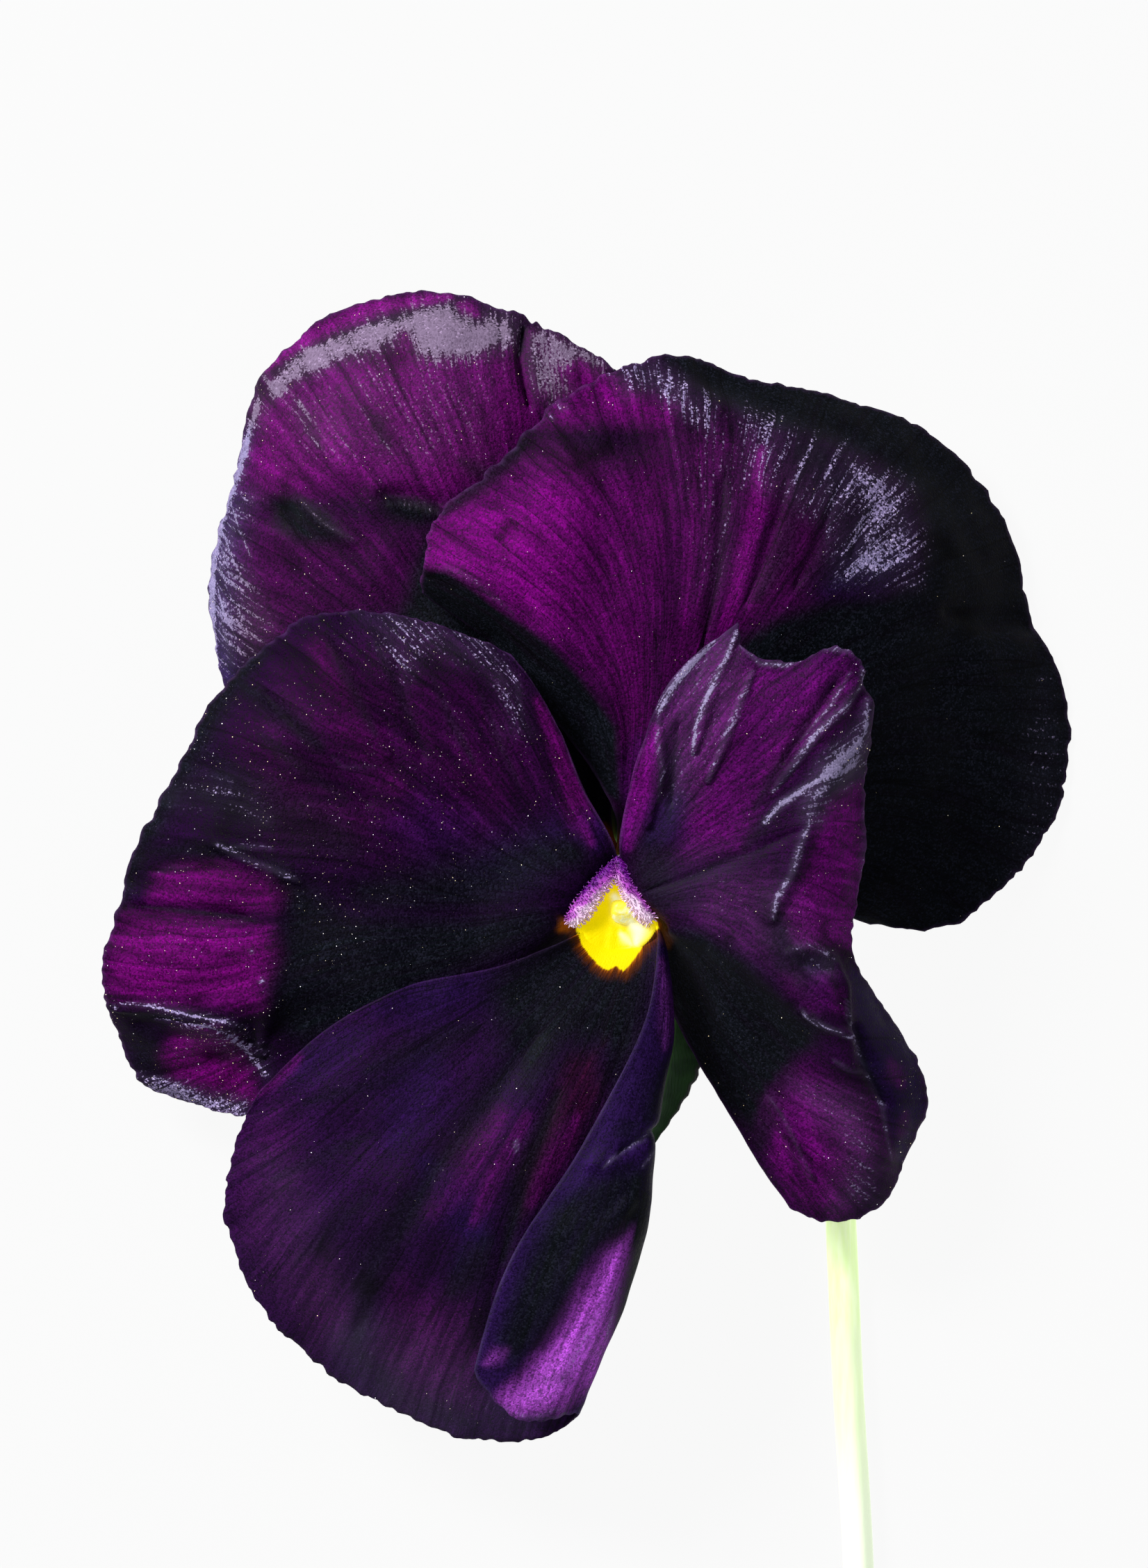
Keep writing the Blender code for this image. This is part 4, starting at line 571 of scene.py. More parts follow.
ZONES["petal_lateral_right"] = {
    "lit": (
        area(1.2, 0.36, (3.2, 13.0), (4.2, 15.4), (6.8, 18.6), (8.2, 18.2), (9.5, 16.8), (12.5, 17.0),
            (15.5, 17.6), (16.0, 15.0), (12.5, 11.5), (9.8, 8.5), (8.5, 5.0), (5.0, 4.5), (4.8, 8.0),
            (4.6, 11.0)),
        line(1.2, 0.42, (9.6, 15.6), (8.6, 11.0), (7.0, 7.4)),
        line(1.0, 0.48, (13.2, 15.8), (11.6, 12.6), (9.6, 9.6)),
        line(0.8, 0.8, (2.9, 12.8), (2.1, 10.0), (1.3, 6.8), (1.1, 5.2)),
        area(0.8, 0.76, (13.8, 8.0), (16.2, 9.0), (16.3, 2.0), (15.6, -1.5), (12.0, -1.0), (11.2, 1.0),
            (12.8, 4.0)),
        line(0.9, 0.8, (14.7, 2.8), (14.9, 1.0)),
        line(0.8, 0.8, (15.3, 8.0), (15.0, 5.4)),
        area(1.0, 0.16, (6.3, 2.5), (10.2, 3.6), (11.0, 1.0), (10.4, -2.6), (8.0, -1.2), (5.5, 0.6)),
        area(0.6, 0.3, (11.0, -3.2), (14.6, -3.0), (15.2, -5.8), (13.0, -5.6), (11.5, -4.6)),
        area(2.2, 0.62, (10.3, -11.6), (12.5, -9.5), (16.5, -12.5), (17.0, -15.0), (14.5, -18.5),
            (12.0, -17.5)),
        line(1.2, 0.9, (12.6, -12.0), (13.6, -15.6)),
        line(0.8, 0.85, (11.0, -13.6), (11.6, -16.6)),
        line(0.6, 0.34, (18.2, -9.0), (18.9, -10.6)),
        line(0.5, 0.3, (19.2, -12.4), (18.8, -14.0)),
    ),
    "dark": (
        area(0.8, 1.0, (3.1, 0.0), (6.0, -0.5), (8.5, -2.0), (11.0, -4.2), (12.4, -5.6), (14.0, -6.6),
            (13.0, -8.0), (11.5, -9.5), (10.4, -10.8), (9.3, -13.5), (7.5, -12.0), (5.5, -9.5), (3.8, -5.0),
            (3.2, -2.0)),
        line(1.1, 0.5, (12.2, -8.4), (10.6, -11.0), (9.8, -14.4)),
        line(0.2, 0.5, (1.8, 2.1), (3.6, 2.4), (5.6, 3.2), (7.4, 4.3), (9.5, 4.7), (12.0, 6.0)),
        area(0.9, 0.6, (1.2, 4.0), (2.2, 6.4), (3.6, 5.0), (4.2, 2.0), (3.0, 0.3), (2.2, 1.4)),
        line(0.3, 0.4, (4.2, 12.6), (3.8, 7.0)),
        line(0.4, 0.55, (14.8, 16.4), (11.2, 10.9), (9.4, 7.6)),
        line(0.5, 0.5, (10.6, 7.4), (8.6, 4.9)),
        area(0.5, 0.2, (15.5, -2.5), (17.5, -5.0), (19.9, -8.0), (20.5, -12.0), (18.9, -15.6),
            (17.7, -12.0), (16.3, -9.0), (15.9, -6.0)),
        line(0.35, 0.7, (15.9, -6.5), (16.5, -9.2), (17.9, -11.3)),
        area(0.3, 0.3, (12.2, -1.9), (14.0, -2.0), (14.8, -2.9), (13.0, -3.2)),
        line(1.4, 0.45, (10.0, 1.6), (11.4, -2.0), (12.6, -4.6)),
    ),
    "sheen": (
        line(0.4, 0.95, (7.4, 19.4), (5.1, 16.9), (3.9, 15.4), (3.1, 13.9)),
        line(0.2, 0.6, (3.1, 13.9), (3.0, 12.4), (3.3, 10.0), (3.0, 8.0)),
        line(0.26, 0.95, (8.2, 19.2), (7.4, 17.2), (6.4, 15.2), (5.6, 13.1), (5.3, 11.1)),
        line(0.18, 0.6, (6.6, 18.4), (5.9, 16.6), (5.3, 15.0)),
        line(0.26, 0.68, (9.2, 16.5), (8.2, 14.1), (7.4, 12.1), (6.3, 9.4)),
        area(1.2, 0.3, (3.0, 13.0), (4.4, 16.6), (7.8, 19.6), (8.8, 17.4), (7.6, 13.0), (5.4, 8.0),
            (3.4, 6.0), (3.4, 10.0)),
        line(0.2, 0.75, (8.35, 18.2), (9.7, 17.0), (11.4, 16.9), (12.8, 17.5), (13.6, 18.0)),
        line(0.3, 0.7, (14.0, 18.0), (16.0, 17.9), (16.5, 17.2)),
        line(0.22, 0.9, (16.4, 16.9), (16.3, 15.7), (15.1, 14.1), (13.5, 12.6), (11.8, 10.3), (10.5, 8.7)),
        line(0.14, 0.7, (15.6, 16.6), (14.3, 14.2), (12.4, 12.0)),
        line(0.36, 1.0, (16.7, 14.6), (16.5, 12.6), (15.3, 10.9), (13.4, 9.4), (11.2, 8.0), (10.0, 6.7)),
        area(1.0, 0.86, (16.8, 14.4), (15.4, 12.4), (13.6, 10.6), (12.7, 8.4), (12.7, 7.0), (13.4, 6.6),
            (14.4, 8.6), (16.4, 10.0)),
        line(0.24, 0.85, (13.0, 8.0), (12.8, 6.4), (12.3, 5.2), (11.8, 3.4), (10.8, 1.7), (10.5, 0.4)),
        line(0.25, 0.35, (16.4, 8.8), (16.4, 4.0), (16.1, 1.0)),
        line(0.12, 1.0, (12.3, -5.7), (13.4, -6.4), (14.8, -7.0), (15.7, -7.4)),
        line(0.12, 0.5, (14.5, -8.8), (15.4, -9.4), (16.5, -9.7)),
        line(0.12, 0.4, (10.4, -11.5), (11.2, -12.6), (11.9, -14.0), (13.1, -16.5)),
        area(1.6, 0.46, (12.4, -10.6), (16.4, -11.4), (17.9, -15.2), (17.0, -18.0), (14.8, -18.6),
            (15.2, -15.0)),
        line(0.16, 0.5, (11.4, -1.8), (12.2, -1.5), (12.9, -1.35), (13.8, -1.7), (14.6, -2.3)),
        line(0.16, 1.0, (12.7, -2.35), (12.75, -2.35)),
        area(0.7, 0.34, (11.4, -1.4), (14.6, -1.6), (14.6, -3.6), (12.2, -3.6)),
        line(0.22, 0.66, (15.4, -5.0), (15.5, -6.4), (16.1, -8.6), (16.9, -10.4), (17.6, -11.8),
            (17.9, -13.6), (18.3, -15.4)),
        area(1.8, 0.16, (2.4, 3.6), (5.4, 5.0), (10.6, 4.0), (14.6, -0.6), (14.0, -3.4), (10.0, -2.4),
            (6.4, -0.4), (3.4, 1.2)),
    ),
    "violet": (
        line(0.8, 0.9, (1.3, 7.2), (1.0, 5.2)),
        line(1.6, 0.7, (2.6, 5.6), (4.4, 8.0)),
        area(0.4, 0.9, (15.5, -2.5), (17.5, -5.0), (19.9, -8.0), (20.5, -12.0), (18.9, -15.6),
            (17.7, -12.0), (16.3, -9.0), (15.9, -6.0)),
        line(1.4, 0.5, (13.0, -3.0), (14.0, -5.0)),
    ),
}

# %% Zones of colour on the lower petal, whose turned-over flap shows its reverse
# On the lower petal and its flap too, the lit zones are painted light, the dark ones painted shade and the
# sheen ones painted highlight; violet and red are the petal's own colour.
ZONES["petal_lower"] = {
    "lit": (
        area(2.0, 0.15, (-24.9, -15.0), (-24.3, -13.0), (-22.0, -11.0), (-20.5, -14.0), (-19.5, -20.0),
            (-16.0, -26.0), (-19.0, -27.5), (-22.0, -24.5), (-24.6, -20.0)),
        line(0.6, 0.4, (-23.0, -11.0), (-20.4, -8.6)),
        area(2.2, 0.32, (-14.0, -23.6), (-10.0, -25.0), (-8.6, -28.0), (-9.2, -31.0), (-13.0, -31.0),
            (-15.0, -28.0)),
        line(0.7, 0.6, (-2.4, -12.6), (-4.2, -16.0), (-5.3, -18.2)),
        line(1.6, 0.34, (-7.4, -12.5), (-9.6, -16.0), (-11.6, -18.6)),
        line(0.8, 0.36, (-5.6, -12.5), (-8.0, -16.6), (-9.0, -19.4)),
    ),
    "dark": (
        area(1.6, 0.9, (-6.0, -2.0), (-3.0, 0.0), (3.0, -1.0), (2.4, -5.0), (1.8, -8.0), (0.0, -11.0),
            (-0.6, -8.0), (-3.0, -8.0), (-5.5, -11.0), (-7.0, -8.0), (-8.0, -4.0)),
        line(0.9, 0.7, (-5.0, -7.0), (-8.5, -12.0), (-11.5, -16.0), (-14.0, -20.6)),
        line(0.7, 0.75, (-3.6, -11.0), (-6.0, -17.0), (-7.2, -22.0)),
        line(1.1, 0.62, (-13.2, -17.6), (-15.4, -22.0), (-16.6, -27.0)),
        line(1.4, 0.65, (-8.0, -20.6), (-10.4, -24.0)),
        line(1.0, 0.4, (-16.2, -28.2), (-14.0, -30.8), (-9.0, -32.8)),
        line(0.5, 0.4, (-20.0, -11.6), (-13.4, -9.8)),
        line(0.5, 0.4, (-22.0, -16.6), (-15.6, -13.6)),
        line(0.5, 0.4, (-20.6, -22.0), (-15.8, -17.6)),
        line(0.9, 0.45, (-9.0, -6.6), (-16.0, -9.6)),
    ),
    "sheen": (
        line(4.5, 0.24, (-17.0, -27.0), (-13.0, -30.5), (-6.0, -32.0)),
        line(3.0, 0.1, (-22.0, -16.0), (-20.0, -23.0), (-16.0, -27.0)),
        line(0.12, 0.8, (-6.3, -14.0), (-6.2, -14.8)),
    ),
    "violet": (
        line(1.8, 1.0, (-12.0, -15.6), (-8.6, -20.4)),
        line(1.0, 0.5, (-8.8, -19.0), (-10.2, -22.4)),
        area(1.6, 0.7, (-14.4, -3.8), (-11.0, -3.0), (-8.0, -2.8), (-8.5, -5.0), (-12.0, -6.6),
            (-15.4, -5.8)),
        line(2.5, 0.5, (-12.0, -9.0), (-14.0, -14.0)),
        line(1.4, 0.4, (-16.0, -7.0), (-21.0, -10.0)),
    ),
    "red": (
        area(0.9, 0.6, (-2.9, -8.6), (-1.0, -8.2), (-0.6, -11.0), (-2.0, -14.0), (-5.8, -19.0),
            (-6.0, -16.0), (-4.0, -12.0)),
        line(0.4, 0.5, (0.4, -4.2), (-0.6, -8.0)),
    ),
    "flap_lit": (
        area(1.2, 0.94, (1.0, -20.0), (0.6, -22.8), (0.0, -25.0), (-0.3, -27.2), (-1.6, -29.6),
            (-3.4, -31.3), (-6.6, -31.9), (-7.0, -31.0), (-5.6, -29.8), (-4.2, -27.6), (-2.8, -25.4),
            (-1.6, -23.2), (-0.2, -21.2)),
        line(0.8, 1.0, (-0.2, -22.8), (-1.2, -25.0), (-2.2, -27.0)),
        line(0.5, 0.12, (3.2, -2.4), (3.6, -6.0), (3.4, -8.0)),
        line(0.5, 0.18, (-8.2, -28.6), (-6.8, -27.7)),
        line(0.5, 0.4, (-6.8, -30.8), (-5.0, -31.2)),
    ),
    "flap_dark": (
        line(0.16, 0.2, (0.2, -23.0), (-2.0, -26.6), (-3.0, -29.6)),
        line(0.14, 0.28, (-0.6, -22.4), (-3.0, -26.8), (-4.8, -29.8)),
        line(0.2, 0.4, (-1.6, -30.4), (-3.4, -29.4), (-5.6, -30.2)),
        area(0.9, 0.9, (0.6, -16.0), (2.4, -16.0), (2.2, -19.0), (1.0, -20.6), (-0.6, -21.2), (-2.2, -23.0),
            (-3.4, -25.4), (-4.8, -27.4), (-6.4, -28.6), (-7.4, -27.0), (-5.6, -22.0), (-3.8, -18.6),
            (-1.2, -16.6)),
        line(0.8, 1.0, (2.1, -17.6), (1.6, -21.4), (1.1, -24.2), (0.3, -27.2), (-0.6, -29.0)),
        line(1.0, 0.6, (3.8, -9.0), (2.2, -12.6)),
        line(0.7, 0.5, (1.6, -13.0), (0.4, -13.6)),
    ),
    "flap_sheen": (
        line(0.18, 0.9, (3.5, -12.9), (2.0, -13.9), (0.6, -14.8), (-0.5, -15.7)),
        line(0.12, 0.7, (2.7, -14.7), (1.9, -15.8)),
        line(0.22, 0.55, (-7.2, -31.7), (-5.0, -32.2), (-3.2, -31.5)),
        line(0.14, 0.7, (0.45, -23.4), (-0.15, -25.8), (-0.5, -27.2)),
        line(0.14, 0.7, (4.2, -9.4), (4.0, -11.4), (3.3, -13.2)),
        line(0.14, 0.8, (3.1, -0.3), (2.6, -2.5)),
        area(1.0, 0.4, (0.0, -23.6), (-1.0, -28.0), (-4.4, -31.6), (-6.6, -31.4), (-4.0, -28.6),
            (-1.6, -25.6)),
    ),
}

# %% [markdown]
# The eye is the part that insects aim at: a yellow patch on the lower petal, browned round its rim,
# with a hairy pad on each side petal above it. Its rim is drawn as a closed outline in plan, because
# a brush stroke can't give it its corners.

# %% Outlines of the eye
YELLOW_EYE = (
    (0.15, 2.9), (-0.6, 1.8), (-1.4, 0.9), (-2.3, 0.2), (-2.35, -0.35), (-1.95, -1.4), (-1.35, -2.2),
    (-0.75, -2.8), (-0.2, -3.05), (0.25, -2.75), (0.8, -3.1), (1.35, -2.5), (1.8, -1.9), (2.25, -1.25),
    (2.65, -0.75), (3.2, -0.05), (2.7, 0.4), (1.6, 1.4), (0.8, 2.2),
)
EYE_BASE = (line(0.6, 0.6, (-0.5, 6.3), (0.2, 4.4)),)
EYE_CORNERS = (line(0.45, 1.0, (-3.4, -0.3), (-2.7, 0.2)), line(0.4, 0.15, (3.6, -0.5), (3.8, -1.4)))

# %% [markdown]
# Each petal becomes one closed blade over a quarter of a millimetre thick, half that at its edge, with a
# front and a reverse that carry different finishes. Solidify could give the wall, but building both
# faces from the same grid keeps the front and the reverse apart and lets the wall taper.

# %% The blade of a petal
WALL, RIM_WALL, WALL_TAPER = 0.28, 0.14, 3.0
# A layer of noise has a height, a size and an offset.
SWELLS = ((0.22, 5.5, 3.1), (0.07, 2.1, 11.7))
CRUMPLES = ((0.04, 0.9, 23.0),)
NIBBLES = ((0.17, 0.55, 37.0), (0.14, 1.9, 41.0))


def relief(name, points, waves, height):
    """Adds low ripples, then creases, swells and a lightly crimped edge, along the normals."""
    points = rippled(points, waves, 0.3 * height)
    _, v = grid_places()
    normals = even_normals(points)
    rim, to_rim = edge_distance(points)
    away = np.clip((v - 0.16) / 0.3, 0, 1)
    creases = CREASES[name]
    lift = brushed(points, [mark for mark in creases if mark[2] > 0])
    sunk = [(kind, size, -depth, path) for kind, size, depth, path in creases if depth < 0]
    lift -= brushed(points, sunk)
    lift += away * layered(points, SWELLS)
    steps = np.linalg.norm(np.diff(points[:, -1], axis=0), axis=-1)
    along_edge = np.concatenate([[0], np.cumsum(steps)])[:, None]
    crimp = np.sin(along_edge * 2.6 + 2.2 * np.sin(along_edge * 0.31 + len(name)))
    lift += 0.05 * crimp * np.exp(-((to_rim / 1.3) ** 2))
    lift += layered(points, CRUMPLES) * np.exp(-((rim / 1.6) ** 2))
    points = points + normals * (lift * np.clip(v / 0.12, 0, 1))[..., None]
    outward = unit(np.gradient(points, axis=1))
    nibble = layered(points, NIBBLES)
    return points + outward * (nibble * np.exp(-((to_rim / 0.7) ** 2)))[..., None]


def grid_quads(wide, long):
    """The numbers of a grid of points, and the quads between them."""
    grid = np.arange(wide * long).reshape(wide, long)
    quads = np.stack([grid[:-1, :-1], grid[1:, :-1], grid[1:, 1:], grid[:-1, 1:]], axis=-1)
    return grid, quads.reshape(-1, 4)

def sheet(points, offset):
    """Both faces and the rim of a thin sheet, as vertices, quads and the first quad of the reverse."""
    wide, long = points.shape[:2]
    vertices = np.concatenate([(points + offset).reshape(-1, 3), (points - offset).reshape(-1, 3)])
    grid, front = grid_quads(wide, long)
    loop = np.concatenate([grid[:, 0], grid[-1, 1:], grid[-2::-1, -1], grid[0, -2:0:-1]])
    ahead = np.roll(loop, -1)
    edge = np.stack([ahead, loop, loop + wide * long, ahead + wide * long], axis=-1)
    return vertices, np.concatenate([front, edge, front[:, ::-1] + wide * long]), len(front) + len(edge)

def blade(points):
    """A petal's sheet, whose wall thins towards each free edge."""
    rim, _ = edge_distance(points)
    half = 0.5 * (RIM_WALL + (WALL - RIM_WALL) * np.clip(rim / WALL_TAPER, 0, 1))
    return sheet(points, even_normals(points) * half[..., None])


def new_piece(name, vertices, faces, looks, reverse_from=None):
    """One mesh object at the origin, from millimetres, with a second finish from some face on."""
    mesh = bpy.data.meshes.new(name)
    mesh.from_pydata((np.asarray(vertices) * MM).tolist(), [], [tuple(map(int, face)) for face in faces])
    mesh.polygons.foreach_set("use_smooth", [True] * len(mesh.polygons))
    if reverse_from is not None:
        sides = [int(i >= reverse_from) for i in range(len(mesh.polygons))]
        mesh.polygons.foreach_set("material_index", sides)
    for look in looks:
        mesh.materials.append(look)
    mesh.update()
    made = bpy.data.objects.new(name, mesh)
    bpy.context.scene.collection.objects.link(made)
    return made


def paint(piece, masks):
    """Stores each mask as a number on every vertex, for the materials to read by its name."""
    for name, values in masks.items():
        layer = piece.data.attributes.new(name, "FLOAT", "POINT")
        layer.data.foreach_set("value", np.asarray(values, np.float32))


def lay_places(piece, places):
    """A UV map that runs across the petal and out along it, so that veins can follow the blade."""
    layer = piece.data.uv_layers.new(name="places")
    corners = np.empty(len(piece.data.loops), np.int32)
    piece.data.loops.foreach_get("vertex_index", corners)
    layer.data.foreach_set("uv", places[corners].astype(np.float32).ravel())


# %% [markdown]
# Node trees for shading and for geometry are written in the same few words: add a node, set or link
# its inputs by name, take its output. A bare mix of node calls would bury the recipe.

# %% A short way to write node trees
class Graph:
    """Adds nodes to one tree and joins them."""

    def __init__(self, tree):
        self.tree = tree

    def put(self, socket, value):
        if isinstance(value, bpy.types.NodeSocket):
            self.tree.links.new(value, socket)
        elif socket.type == "RGBA" and len(value) == 3:
            socket.default_value = (*value, 1)
        else:
            socket.default_value = value

    def add(self, kind, inputs=None, **settings):
        node = self.tree.nodes.new(kind)
        for key, value in settings.items():
            setattr(node, key, value)
        for key, value in (inputs or {}).items():
            self.put(node.inputs[key], value)
        return node

    def math(self, operation, *values):
        node = self.add("ShaderNodeMath", operation=operation)
        for socket, value in zip(node.inputs, values):
            self.put(socket, value)
        return node.outputs[0]

    def times(self, *values):
        result = values[0]
        for value in values[1:]:
            result = self.math("MULTIPLY", result, value)
        return result

    def plus(self, start, value, factor):
        """A start with a value times a factor added to it."""
        return self.math("ADD", start, self.math("MULTIPLY", value, factor))

    def xyz(self, x=0.0, y=0.0, z=0.0):
        return self.add("ShaderNodeCombineXYZ", {"X": x, "Y": y, "Z": z}).outputs[0]

    def bump(self, height, strength=0.5, distance=0.00006):
        inputs = {"Strength": strength, "Distance": distance, "Height": height}
        return self.add("ShaderNodeBump", inputs).outputs[0]

    def live(self, node):
        """The output of a node that its settings leave in use."""
        return [s for s in node.outputs if s.enabled][0]

    def vector(self, operation, a, b):
        node = self.add("ShaderNodeVectorMath", operation=operation)
        self.put(node.inputs[0], a)
        self.put(node.inputs[1], b)
        return node.outputs[0]

    def mix(self, factor, a, b, blend="MIX"):
        node = self.add("ShaderNodeMix", data_type="RGBA", blend_type=blend)
        for index, value in ((0, factor), (6, a), (7, b)):
            self.put(node.inputs[index], value)
        return node.outputs[2]

    def ramp(self, value, low, high, to_low=0.0, to_high=1.0, shape="SMOOTHSTEP"):
        node = self.add("ShaderNodeMapRange", interpolation_type=shape)
        sockets = ("Value", "From Min", "From Max", "To Min", "To Max")
        for key, item in zip(sockets, (value, low, high, to_low, to_high)):
            self.put(node.inputs[key], item)
        return node.outputs["Result"]

    def noise(self, vector, scale, detail=2.0, roughness=0.5):
        inputs = {"Vector": vector, "Scale": scale, "Detail": detail, "Roughness": roughness}
        return self.add("ShaderNodeTexNoise", inputs).outputs["Fac"]

    def painted(self, name):
        node = self.add("ShaderNodeAttribute", attribute_name=name, attribute_type="GEOMETRY")
        return node.outputs["Fac"]

    def split(self, vector):
        return self.add("ShaderNodeSeparateXYZ", {0: vector}).outputs

    def spot(self):
        return self.add("ShaderNodeTexCoord").outputs["Object"]

    def use(self, tree, **inputs):
        node = self.add("ShaderNodeGroup", node_tree=tree)
        for key, value in inputs.items():
            self.put(node.inputs[key.replace("_", " ")], value)
        return node.outputs


def new_group(name, kind, inputs, outputs):
    """A node group with named sockets, its graph, and its input and output nodes."""
    tree = bpy.data.node_groups.new(name, kind)
    for direction, sockets in (("INPUT", inputs), ("OUTPUT", outputs)):
        for title, socket, *default in sockets:
            made = tree.interface.new_socket(title, in_out=direction, socket_type="NodeSocket" + socket)
            if default:
                made.default_value = (*default[0], 1) if socket == "Color" else default[0]
    graph = Graph(tree)
    entry, leave = graph.add("NodeGroupInput"), graph.add("NodeGroupOutput")
    return tree, graph, entry.outputs, leave.inputs


# %% [markdown]
# The veins of a pansy petal fan out from its claw, and the colour between them runs in streaks of
# every width. Noise stretched along the petal's own places gives all of it in one group, which each
# petal material uses with its own counts. The velvet itself is made of cells a tenth of a millimetre
# wide, each domed and each a little lighter or darker than the next. They are read in real
# millimetres, because they are the same size everywhere.

# %% Streaks, veins and cells of a petal
streaks_tree, g, given, result = new_group(
    "petal_streaks", "ShaderNodeTree",
    (("Places", "Vector"), ("Position", "Vector"), ("Broad Count", "Float", 9.0),
        ("Vein Count", "Float", 26.0), ("Cells Per Metre", "Float", 9000.0)),
    (("Broad", "Float"), ("Streak", "Float"), ("Fine", "Float"), ("Vein", "Float"), ("Cell", "Float"),
        ("Dome", "Float"), ("Hair", "Float")),
)
split = g.split(given["Places"])
bend = g.math("MULTIPLY", g.math("SUBTRACT", g.noise(given["Position"], 180.0, 1.0), 0.5), 0.012)
across = g.math("ADD", split["X"], bend)


def stretched(count, run, detail, shift):
    """Noise with so many streaks across the petal and so many changes along it."""
    place = g.xyz(g.math("MULTIPLY", across, count), g.math("MULTIPLY", split["Y"], run), shift)
    return g.noise(place, 1.0, detail, 0.6)


g.put(result["Broad"], g.ramp(stretched(given["Broad Count"], 1.6, 2.0, 0.0), 0.3, 0.7))
g.put(result["Streak"], g.ramp(stretched(g.times(given["Broad Count"], 3.4), 2.2, 3.0, 4.0), 0.28, 0.72))
g.put(result["Fine"], g.ramp(stretched(g.times(given["Broad Count"], 11.0), 7.0, 3.0, 8.0), 0.25, 0.75))
vein = g.math("ABSOLUTE", g.math("SUBTRACT", stretched(given["Vein Count"], 1.2, 0.0, 12.0), 0.5))
g.put(result["Vein"], g.ramp(vein, 0.0, 0.022, 1.0, 0.0))
where = {"Vector": given["Position"], "Scale": given["Cells Per Metre"]}
cells = g.add("ShaderNodeTexVoronoi", where).outputs
g.put(result["Cell"], g.add("ShaderNodeSeparateColor", {0: cells["Color"]}).outputs[0])
g.put(result["Dome"], g.math("SUBTRACT", 1.0, g.math("MULTIPLY", cells["Distance"], cells["Distance"])))
g.put(result["Hair"], g.ramp(stretched(g.times(given["Broad Count"], 19.0), 4.0, 3.0, 16.0), 0.48, 0.60))

# %% [markdown]
# A painted zone ends in teeth where the streaks run past it, never in a clean line. One group frays
# a mask with the streaks before it is used to mix colours. A second one turns a painted sheen into
# painted glints: where the sheen is weak only single cells in the finest streaks are painted as
# catching the light, and where it is strong nearly all of them are.

# %% A frayed zone
frayed_tree, g, given, result = new_group(
    "frayed_zone", "ShaderNodeTree",
    (("Zone", "Float"), ("Streak", "Float"), ("Fine", "Float"), ("Fray", "Float", 0.5)),
    (("Mask", "Float"),),
)
both = g.plus(g.math("MULTIPLY", given["Streak"], 0.4), given["Fine"], 0.6)
shift = g.math("MULTIPLY", g.math("SUBTRACT", both, 0.5), given["Fray"])
room = g.math("MULTIPLY", given["Zone"], g.math("SUBTRACT", 1.3, given["Zone"]))
spread = g.math("ADD", given["Zone"], g.times(shift, room, 3.6))
g.put(result["Mask"], g.math("MAXIMUM", g.math("MINIMUM", spread, 1.0), 0.0))

# %% Painted sheen broken into painted glints, cell by cell
painted_glint_tree, g, given, result = new_group(
    "glitter", "ShaderNodeTree", (("Sheen", "Float"), ("Hair", "Float"), ("Cell", "Float"),
        ("Veil", "Float", 0.1)), (("Mask", "Float"), ("Spark", "Float")),
)
solid = g.ramp(given["Sheen"], 0.5, 1.0)
share = g.math("MAXIMUM", given["Hair"], solid)
dense = g.times(given["Sheen"], g.plus(0.10, share, 0.9))
caught = g.ramp(g.plus(dense, given["Cell"], 0.7), 0.72, 1.12)
bright = g.times(caught, g.plus(0.35, given["Sheen"], 0.65), g.plus(0.62, given["Cell"], 0.6))
g.put(result["Mask"], g.math("MAXIMUM", bright, g.times(given["Sheen"], given["Veil"])))
g.put(result["Spark"], g.times(g.ramp(given["Cell"], 0.84, 1.0), caught, 0.5))

# %% [markdown]
# Velvet is a colour that starts almost black and opens to the petal's own magenta where light is
# painted falling on it, with violet towards the eye, painted near black where shade and cast shadows
# fall, and painted lilac grey as a highlight on the bends. All petals share this order of layers, so
# one function writes it and each petal passes its own colours and strengths. The painted grey of a
# bend is not even all over: single cells are painted as catching the light, so it sparkles, and the
# brightest are painted as near-white glints. A pale line of painted rim light runs along every free
# edge. The yellow patch is thin enough to glow with the light inside it, which a little emission
# stands in for; the pale painted highlights by the stigma glow the same way.

# %% The velvet of a petal's face
VIOLET = (0.0125, 0.0022, 0.040)
RED = (0.024, 0.0012, 0.012)
# BLACK is the colour of painted shade.
BLACK = (0.0022, 0.0030, 0.0050)
YELLOW = (0.46, 0.37, 0.0)
PALE = (0.49, 0.50, 0.33)
BROWN = (0.10, 0.020, 0.0)
OCHRE = (0.50, 0.13, 0.004)


def zone_mask(g, zone, streaks, fray):
    return g.use(frayed_tree, Zone=zone, Streak=streaks["Streak"], Fine=streaks["Fine"], Fray=fray)["Mask"]


def new_look(name, roughness, specular=0.5, **uniform):
    """A Principled material whose plain numbers sit on the shader's own sockets."""
    look = bpy.data.materials.new(name)
    look.use_nodes = True
    shader = look.node_tree.nodes["Principled BSDF"]
    shader.inputs["Roughness"].default_value = roughness
    shader.inputs["Specular IOR Level"].default_value = specular
    for key, value in uniform.items():
        shader.inputs[key.replace("_", " ")].default_value = value
    return look, Graph(look.node_tree), shader


